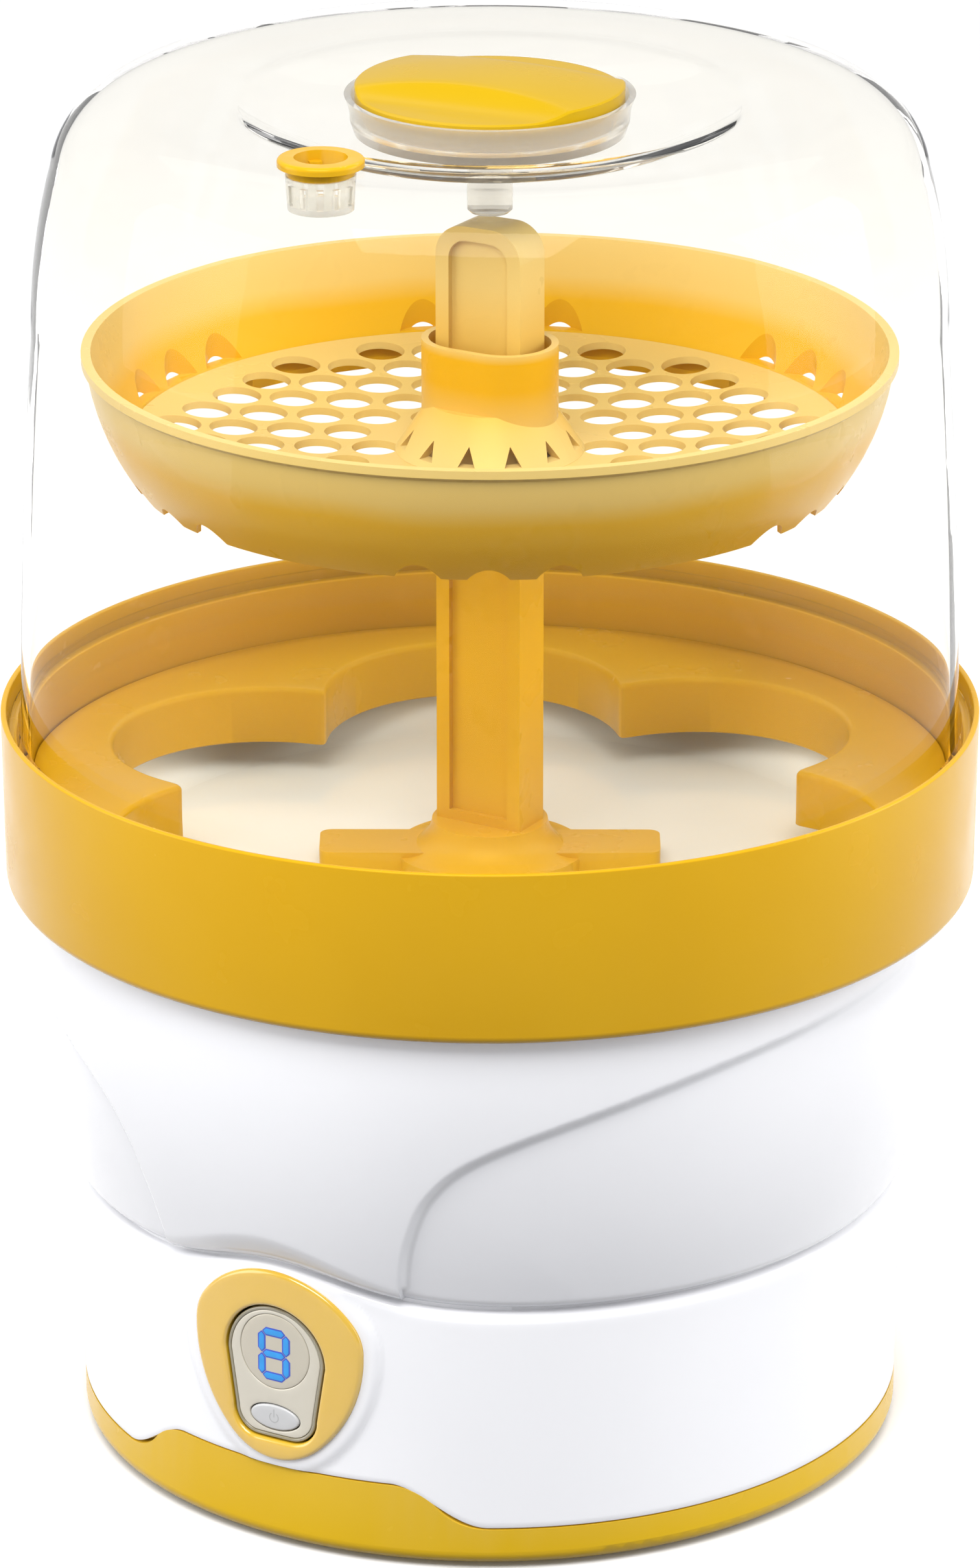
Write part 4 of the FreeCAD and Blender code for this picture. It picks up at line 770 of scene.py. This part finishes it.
def make_housing():
    """The white skirt of the base, with the raised pad behind the yellow bezel and the
    opening behind the window."""
    pad = bezel_loop(PAD_MARGIN)
    inner = HOUSING_R - SKIRT_WALL
    levels, rounds, low_edge = 40, 8, 0.4

    def profile(angle):
        x = HOUSING_R * math.sin(math.radians(angle))
        top, base = pad_top(angle), seam(angle) + SEAM_GAP
        soft = 2.8 - 1.5 * arch(angle)
        heights = [mixed(base + low_edge, top - soft, k / levels) for k in range(levels + 1)]
        outer = [HOUSING_R] * len(heights)
        if from_front(angle) < PAD_HALF_ANGLE:
            gaps = to_loop([(x, z) for z in heights], pad)
            outer = [mixed(PAD_FRONT, HOUSING_R, smooth(gap / PAD_SLOPE + 0.5))
                     for gap in gaps]
        ring = [(inner, base), (outer[0] - low_edge, base),
                (outer[0] - 0.3 * low_edge, base + 0.3 * low_edge)]
        ring += list(zip(outer, heights))
        lip = outer[-1]
        for k in range(1, rounds + 1):
            turn = math.radians(90 * k / rounds)
            ring.append((lip - soft + soft * math.cos(turn), top - soft + soft * math.sin(turn)))
        ring.append((inner - 0.6, top))
        return ring

    skirt = lathe("housing_skirt", profile, WHITE, "base", fine_angles(),
                  replaced=["lower_housing"], slot="white_plastic")
    cut_opening(skirt, plate("window_opening", window_loop(OPENING_EDGE), [], PAD_FRONT + 1,
                             OPENING_BACK, WHITE, "base", edge=0.1))


# Points of the swoosh: degrees from the front, and height.
SWOOSH = [(18.5, 77), (19.6, 90), (22.6, 104), (29, 115), (43, 126), (62, 135.6), (90, 143.4)]


def swoosh_line():
    """Smooth curve through the swoosh's points, as (distance from the middle, height)."""
    samples, foot = 400, 60.0
    knots = [(BOWL_TOP_R * math.radians(a), z) for a, z in SWOOSH]
    knots = [(knots[0][0] - 0.2, knots[0][1] - 10)] + knots + [
        (knots[-1][0] + 40, knots[-1][1] + 5)]
    line = []
    for k in range(1, len(knots) - 2):
        p0, p1, p2, p3 = (np.array(knots[k + i - 1]) for i in range(4))
        for t in np.linspace(0, 1, samples // (len(knots) - 3), endpoint=False):
            line.append(0.5 * ((2 * p1) + (p2 - p0) * t + (2 * p0 - 5 * p1 + 4 * p2 - p3)
                               * t ** 2 + (3 * p1 - p0 - 3 * p2 + p3) * t ** 3))
    line.insert(0, np.array([knots[1][0], foot]))
    return np.array(line)


def sunk(gap):
    """Depth of the bowl's sunken flank at a distance outside the swoosh line."""
    depth, step, lead, fade = 1.7, 3.0, 0.8, 60.0
    inward = smooth((gap + lead) / step)
    return depth * inward * (1 - 0.75 * smooth(gap / fade))


def make_bowl():
    """The white bowl over the skirt, with a swoosh on each side of its front."""
    line = swoosh_line()
    chord = (BOWL_TOP_R - BOWL_LOW_R, BOWL_SHOULDER - BOWL_LOW)
    middle = Vector(((BOWL_TOP_R + BOWL_LOW_R) / 2, (BOWL_SHOULDER + BOWL_LOW) / 2))
    length = math.hypot(*chord)
    rise = math.sqrt(BOWL_CURVE ** 2 - length ** 2 / 4)
    centre = middle + Vector((-chord[1], chord[0])) / length * rise

    levels, round_off = 110, 3.1
    mouth_r, ledge_r, ledge_top, ledge_low, inner_r = 113, 109.2, 156.7, 154.7, 114.9
    mouth = [(BOWL_TOP_R, BOWL_TOP - 0.6), (BOWL_TOP_R - 0.6, BOWL_TOP), (mouth_r, BOWL_TOP),
             (mouth_r, ledge_top), (ledge_r, ledge_top), (ledge_r, ledge_low),
             (inner_r, ledge_low)]
    inside_wall = [(inner_r, BOWL_SHOULDER), (112, 120), (106, 85), (103, 80)]

    def wall(z):
        return centre.x + math.sqrt(BOWL_CURVE ** 2 - (z - centre.y) ** 2)

    def profile(angle):
        edge = pad_top(angle) + CREASE_GAP
        lifted = edge - (HOUSING_TOP + CREASE_GAP)
        heights = [mixed(edge, BOWL_SHOULDER, (k / levels) ** 1.25) for k in range(levels + 1)]
        turned = from_front(angle)
        across = BOWL_TOP_R * math.radians(turned)
        gaps = nearest([(across, z) for z in heights], line)
        reaches = np.interp(heights, line[:, 1], line[:, 0])
        ring = [(NECK_R - BOWL_WALL, edge - NECK_DEPTH), (NECK_R, edge - NECK_DEPTH),
                (NECK_R, edge)]
        for z, gap, reach in zip(heights, gaps, reaches):
            gap = gap if across > reach else -gap
            fade = smooth((BOWL_SHOULDER - 1 - z) / 12) * smooth((150 - turned) / 60)
            r = wall(z) - sunk(gap) * fade
            over = z - edge
            if over < round_off:
                r -= round_off - math.sqrt(round_off ** 2 - (round_off - over) ** 2)
            r -= 0.36 * lifted * (1 - smooth(over / (3 + 0.9 * lifted)))
            ring.append((r, z))
        return ring + mouth + inside_wall

    lathe("bowl_shell", profile, WHITE, "base", fine_angles(),
          replaced=["upper_housing"], slot="white_plastic")


# ------------------------------------------------------------ rack

COLLAR_LOW = low("rack_collar").z
COLLAR_TOP = high("rack_collar").z
COLLAR_R = high("rack_collar").x
LEDGE_TOP = 163.5
INSERT_TOP = 170.0
INSERT_R = 117.9
LOBE_CIRCLE = 65.0
LOBE_R = 38.0
RACK_TURN = 4.0


def make_collar():
    """The thick ring round the top of the base: a step above carries the hood, and a ledge
    inside carries the rack's plate."""
    skirt_r, mouth_r, bore_r, ledge_r = 118.1, 121.1, 118.5, 108.5
    hood_step, ledge_low = 184.5, 160.3
    lathe("collar_ring", outline([
        (skirt_r, COLLAR_LOW, 0.4), (COLLAR_R - 0.6, COLLAR_LOW, 2.4),
        (COLLAR_R - 0.02, COLLAR_TOP, 0.5), (mouth_r, COLLAR_TOP, 0.4),
        (mouth_r, hood_step), (bore_r, hood_step, 0.5), (bore_r - 0.2, LEDGE_TOP),
        (ledge_r, LEDGE_TOP), (ledge_r, ledge_low), (skirt_r, ledge_low)]),
        YELLOW, "rack", even_angles(320), replaced=["rack_collar"], slot="yellow_plastic")


def lobed(angle, grown=0.0):
    """Radius of the six-lobed opening; its inward cusps are rounded."""
    turned = ((angle - 90 - RACK_TURN + 30) % 60) - 30
    reach = LOBE_R + grown

    def lobe(offset):
        across = LOBE_CIRCLE * math.sin(math.radians(offset))
        if abs(across) > reach:
            return 0.0
        return LOBE_CIRCLE * math.cos(math.radians(offset)) + math.sqrt(
            reach ** 2 - across ** 2)

    here = lobe(turned)
    other = lobe(60 - abs(turned))
    softness = 3.2
    return (here + other + math.sqrt((here - other) ** 2 + softness ** 2)) / 2


def make_insert():
    """The rack's plate and its lobed wall, with a rounded upper edge."""
    wall, edge, low_edge, rounds = 2.2, 1.6, 0.4, 6
    foot, rim_low, under, widest = 155, LEDGE_TOP + 0.1, 167.4, 114

    def profile(angle):
        inner, outer = lobed(angle), min(lobed(angle, wall), widest)
        ring = [(inner, foot + low_edge), (inner, INSERT_TOP - edge)]
        for k in range(1, rounds + 1):
            turn = math.radians(90 * k / rounds)
            ring.append((inner + edge * (1 - math.cos(turn)),
                         INSERT_TOP - edge + edge * math.sin(turn)))
        ring += [(mixed(inner + edge, INSERT_R - 0.8, k / rounds), INSERT_TOP)
                 for k in range(1, rounds + 1)]
        ring += [(INSERT_R - 0.2, INSERT_TOP - 0.3), (INSERT_R, INSERT_TOP - 1),
                 (INSERT_R, rim_low), (INSERT_R - wall, rim_low), (INSERT_R - wall, under),
                 (outer, under), (outer, foot + low_edge), (outer - low_edge, foot),
                 (inner + low_edge, foot)]
        return ring

    lathe("insert_plate", profile, YELLOW, "rack", even_angles(720),
          replaced=["rack_insert"], slot="yellow_plastic")


# ------------------------------------------------------------ hood

HOOD_TOP = high("hood_shell").z


def make_hood():
    """The clear dome: a skirt with a bead that rests on the collar, a side, a shoulder, a
    crown and a dish in its middle for the knob. It throws no shadow on what it covers."""
    wall, skirt_r, skirt_low = 2.2, 118, 178
    side_r, side_low, crown_r = 117.4, 190, 86
    shoulder_r, shoulder_low = 112.9, 288
    dish_r, dish, hole_r = 36, 338.3, 5.9
    bead = [(skirt_r - wall, skirt_low), (skirt_r - 0.4, skirt_low),
            (skirt_r, skirt_low + 0.4), (skirt_r, 184.8), (119.6, 184.8), (120.3, 185.5),
            (120.3, 187.0), (119.7, 187.6), (118.2, 187.7)]
    outer = curve((side_r, side_low), ((shoulder_r, shoulder_low), 1600, 24),
                  ((107.5, 330), 156, 16), ((crown_r, HOOD_TOP), 21.5, 16),
                  ((63.2, 347.0), 700, 10), ((62.2, 346.7),), ((61.4, 346.0),),
                  ((38.5, dish + 0.05), -52, 12), ((dish_r, dish),), ((hole_r, dish),))
    inner = curve((hole_r, dish - wall), ((dish_r, dish - wall),),
                  ((38.7, dish + 0.05 - wall),), ((61.4, 345.9 - wall), 54, 12),
                  ((63.0, 346.9 - wall),), ((crown_r, HOOD_TOP - wall), -700, 10),
                  ((105.5, 329.1), -19.3, 16), ((shoulder_r - wall, shoulder_low), -153.8, 16),
                  ((side_r - wall, side_low), -1600, 24))
    hood = lathe("hood_dome", bead + outer + inner, CLEAR, "hood", even_angles(320),
                 replaced=["hood_shell"], slot="clear_plastic", sharp=50)
    hood.visible_shadow = False
    hood.visible_diffuse = False


def make_knob():
    """The round knob with a raised grip bar across it and a scoop on each side."""
    radius, top, floor = 33.0, high("hood_knob").z, low("hood_knob").z
    turn = math.radians(5.6)
    # The bar is 2 * half wide; a scoop of this radius runs down from it to the bed.
    half, scoop, bed, soft = 12.5, 17.2, 348.4, 0.5
    lift = bed + scoop
    out = half + math.sqrt(scoop ** 2 - (lift - top) ** 2)
    # The bar's top is part of a ball that falls by this much at the knob's edge.
    fall = 3
    ball = (radius ** 2 + fall ** 2) / (2 * fall)

    def height(u, v):
        crown = top - (ball - math.sqrt(ball ** 2 - u ** 2 - v ** 2))
        side = abs(v)
        if side < half - 1.2:
            return crown
        if side < out:
            cut = lift - math.sqrt(max(0.0, scoop ** 2 - (out - side) ** 2))
        else:
            cut = bed
        return (crown + cut - math.sqrt((crown - cut) ** 2 + soft ** 2)) / 2

    columns, rows = 120, 90
    points = []
    for i in range(columns + 1):
        u = -radius * math.cos(math.pi * i / columns)
        reach = math.sqrt(max(0.0, radius ** 2 - u ** 2))
        for j in range(rows + 1):
            v = reach * (2 * j / rows - 1)
            share = math.hypot(u, v) / radius
            z = height(u, v) - 0.35 * smooth((share - 0.985) / 0.015)
            points.append((u, v, z))
    faces = [(i * (rows + 1) + j, (i + 1) * (rows + 1) + j, (i + 1) * (rows + 1) + j + 1,
              i * (rows + 1) + j + 1) for i in range(columns) for j in range(rows)]
    edge = [i * (rows + 1) for i in range(columns + 1)]
    edge += [i * (rows + 1) + rows for i in range(columns - 1, 0, -1)]
    rings = [edge]
    for fraction, level in ((1.0, floor + 3), (0.98, floor + 1), (0.93, floor)):
        start = len(points)
        points += [(points[k][0] * fraction, points[k][1] * fraction, level) for k in edge]
        rings.append(list(range(start, len(points))))
    for first, second in zip(rings, rings[1:]):
        faces += [(first[k - 1], first[k], second[k], second[k - 1]) for k in range(len(edge))]
    faces.append(tuple(rings[-1]))
    spun = [(x * math.cos(turn) - y * math.sin(turn), x * math.sin(turn) + y * math.cos(turn),
             z) for x, y, z in points]
    # The knob's darker yellow is painted shade.
    add_piece("knob_grip", spun, faces, KNOB_SHADED_YELLOW, "hood", replaced=["hood_knob"],
              slot="yellow_plastic", sharp=45)


# ------------------------------------------------------------ stage

# The camera as fitted to the photograph, in metres and degrees.
CAMERA_PLACE = (0.8845, -1.5197, 0.8221)
CAMERA_HEADING = 30.2
CAMERA_TILT = 69.60
CAMERA_LENS = 171.1

# Each light box: name, place, target, size and power. Places and targets are in metres, as
# the camera sees them: right of the object, away from the camera, and up.
MIDDLE = (0, 0, 0.17)
LIGHT_BOXES = (
    ("left_box", (-1.25, -0.2, 0.5), MIDDLE, (0.9, 1.1), 10),
    ("right_box", (1.25, -0.05, 0.45), MIDDLE, (0.9, 1.1), 13),
    ("front_box", (-0.15, -0.9, 1.5), MIDDLE, (1.2, 0.8), 27),
    ("back_box", (0, 1.5, 1.7), (0, 1.9, 0), (2.0, 1.0), 7),
)


def make_stage():
    """A wide, plain, pale floor."""
    reach, strips = 24.0, 24
    floor = bpy.data.meshes.new("floor")
    lines = [reach * (2 * k / strips - 1) for k in range(strips + 1)]
    row = strips + 1
    points = [(x, y, 0.0) for x in lines for y in lines]
    faces = [(i * row + j, (i + 1) * row + j, (i + 1) * row + j + 1, i * row + j + 1)
             for i in range(strips) for j in range(strips)]
    floor.from_pydata(points, [], faces)
    floor.materials.append(moulded("studio_paper", (0.95, 0.95, 0.95), (0.93, 0.93, 0.93),
                                   0.8, grain=300.0))
    ground = bpy.data.objects.new("floor", floor)
    bpy.context.scene.collection.objects.link(ground)
    ground.visible_diffuse = False


def add_light(name, place, target, size, power):
    """A light box that faces a target and isn't seen through the clear pieces."""
    light = bpy.data.lights.new(name, "AREA")
    light.shape = "RECTANGLE"
    light.size, light.size_y = size
    light.energy = power
    lamp = bpy.data.objects.new(name, light)
    lamp.location = place
    lamp.visible_transmission = False
    lamp.rotation_euler = (Vector(target) - Vector(place)).to_track_quat("-Z", "Y").to_euler()
    bpy.context.scene.collection.objects.link(lamp)


def make_lights():
    """A sky that is dark below and pale above, and the light boxes."""
    world = bpy.data.worlds.new("studio")
    world.use_nodes = True
    nodes, links = world.node_tree.nodes, world.node_tree.links
    place = nodes.new("ShaderNodeTexCoord")
    parts = nodes.new("ShaderNodeSeparateXYZ")
    links.new(place.outputs["Generated"], parts.inputs["Vector"])
    upward = nodes.new("ShaderNodeMapRange")
    upward.inputs["From Min"].default_value = -1
    links.new(parts.outputs["Z"], upward.inputs["Value"])
    sky = ramp(nodes, links, upward.outputs["Result"],
               [(0.0, (0.06, 0.065, 0.08)), (0.44, (0.14, 0.15, 0.18)),
                (0.53, (0.72, 0.72, 0.74)), (1.0, (0.62, 0.62, 0.64))])
    links.new(sky, nodes["Background"].inputs["Color"])
    bpy.context.scene.world = world
    heading = math.radians(CAMERA_HEADING)

    def seen(right, away, up):
        return (right * math.cos(heading) - away * math.sin(heading),
                right * math.sin(heading) + away * math.cos(heading), up)

    for name, place, target, size, power in LIGHT_BOXES:
        add_light(name, seen(*place), seen(*target), size, power)


def make_camera():
    data = bpy.data.cameras.new("camera")
    data.lens = CAMERA_LENS
    data.sensor_width = 36
    data.clip_end = 20
    camera = bpy.data.objects.new("camera", data)
    camera.location = CAMERA_PLACE
    camera.rotation_euler = (math.radians(CAMERA_TILT), 0, math.radians(CAMERA_HEADING))
    bpy.context.scene.collection.objects.link(camera)
    bpy.context.scene.camera = camera


dress_cad_nodes()
soften_cad_nodes()
make_panel()
make_housing()
make_bowl()
make_collar()
make_insert()
make_hood()
make_knob()
make_stage()
make_lights()
make_camera()
bpy.context.scene.view_settings.view_transform = "Standard"
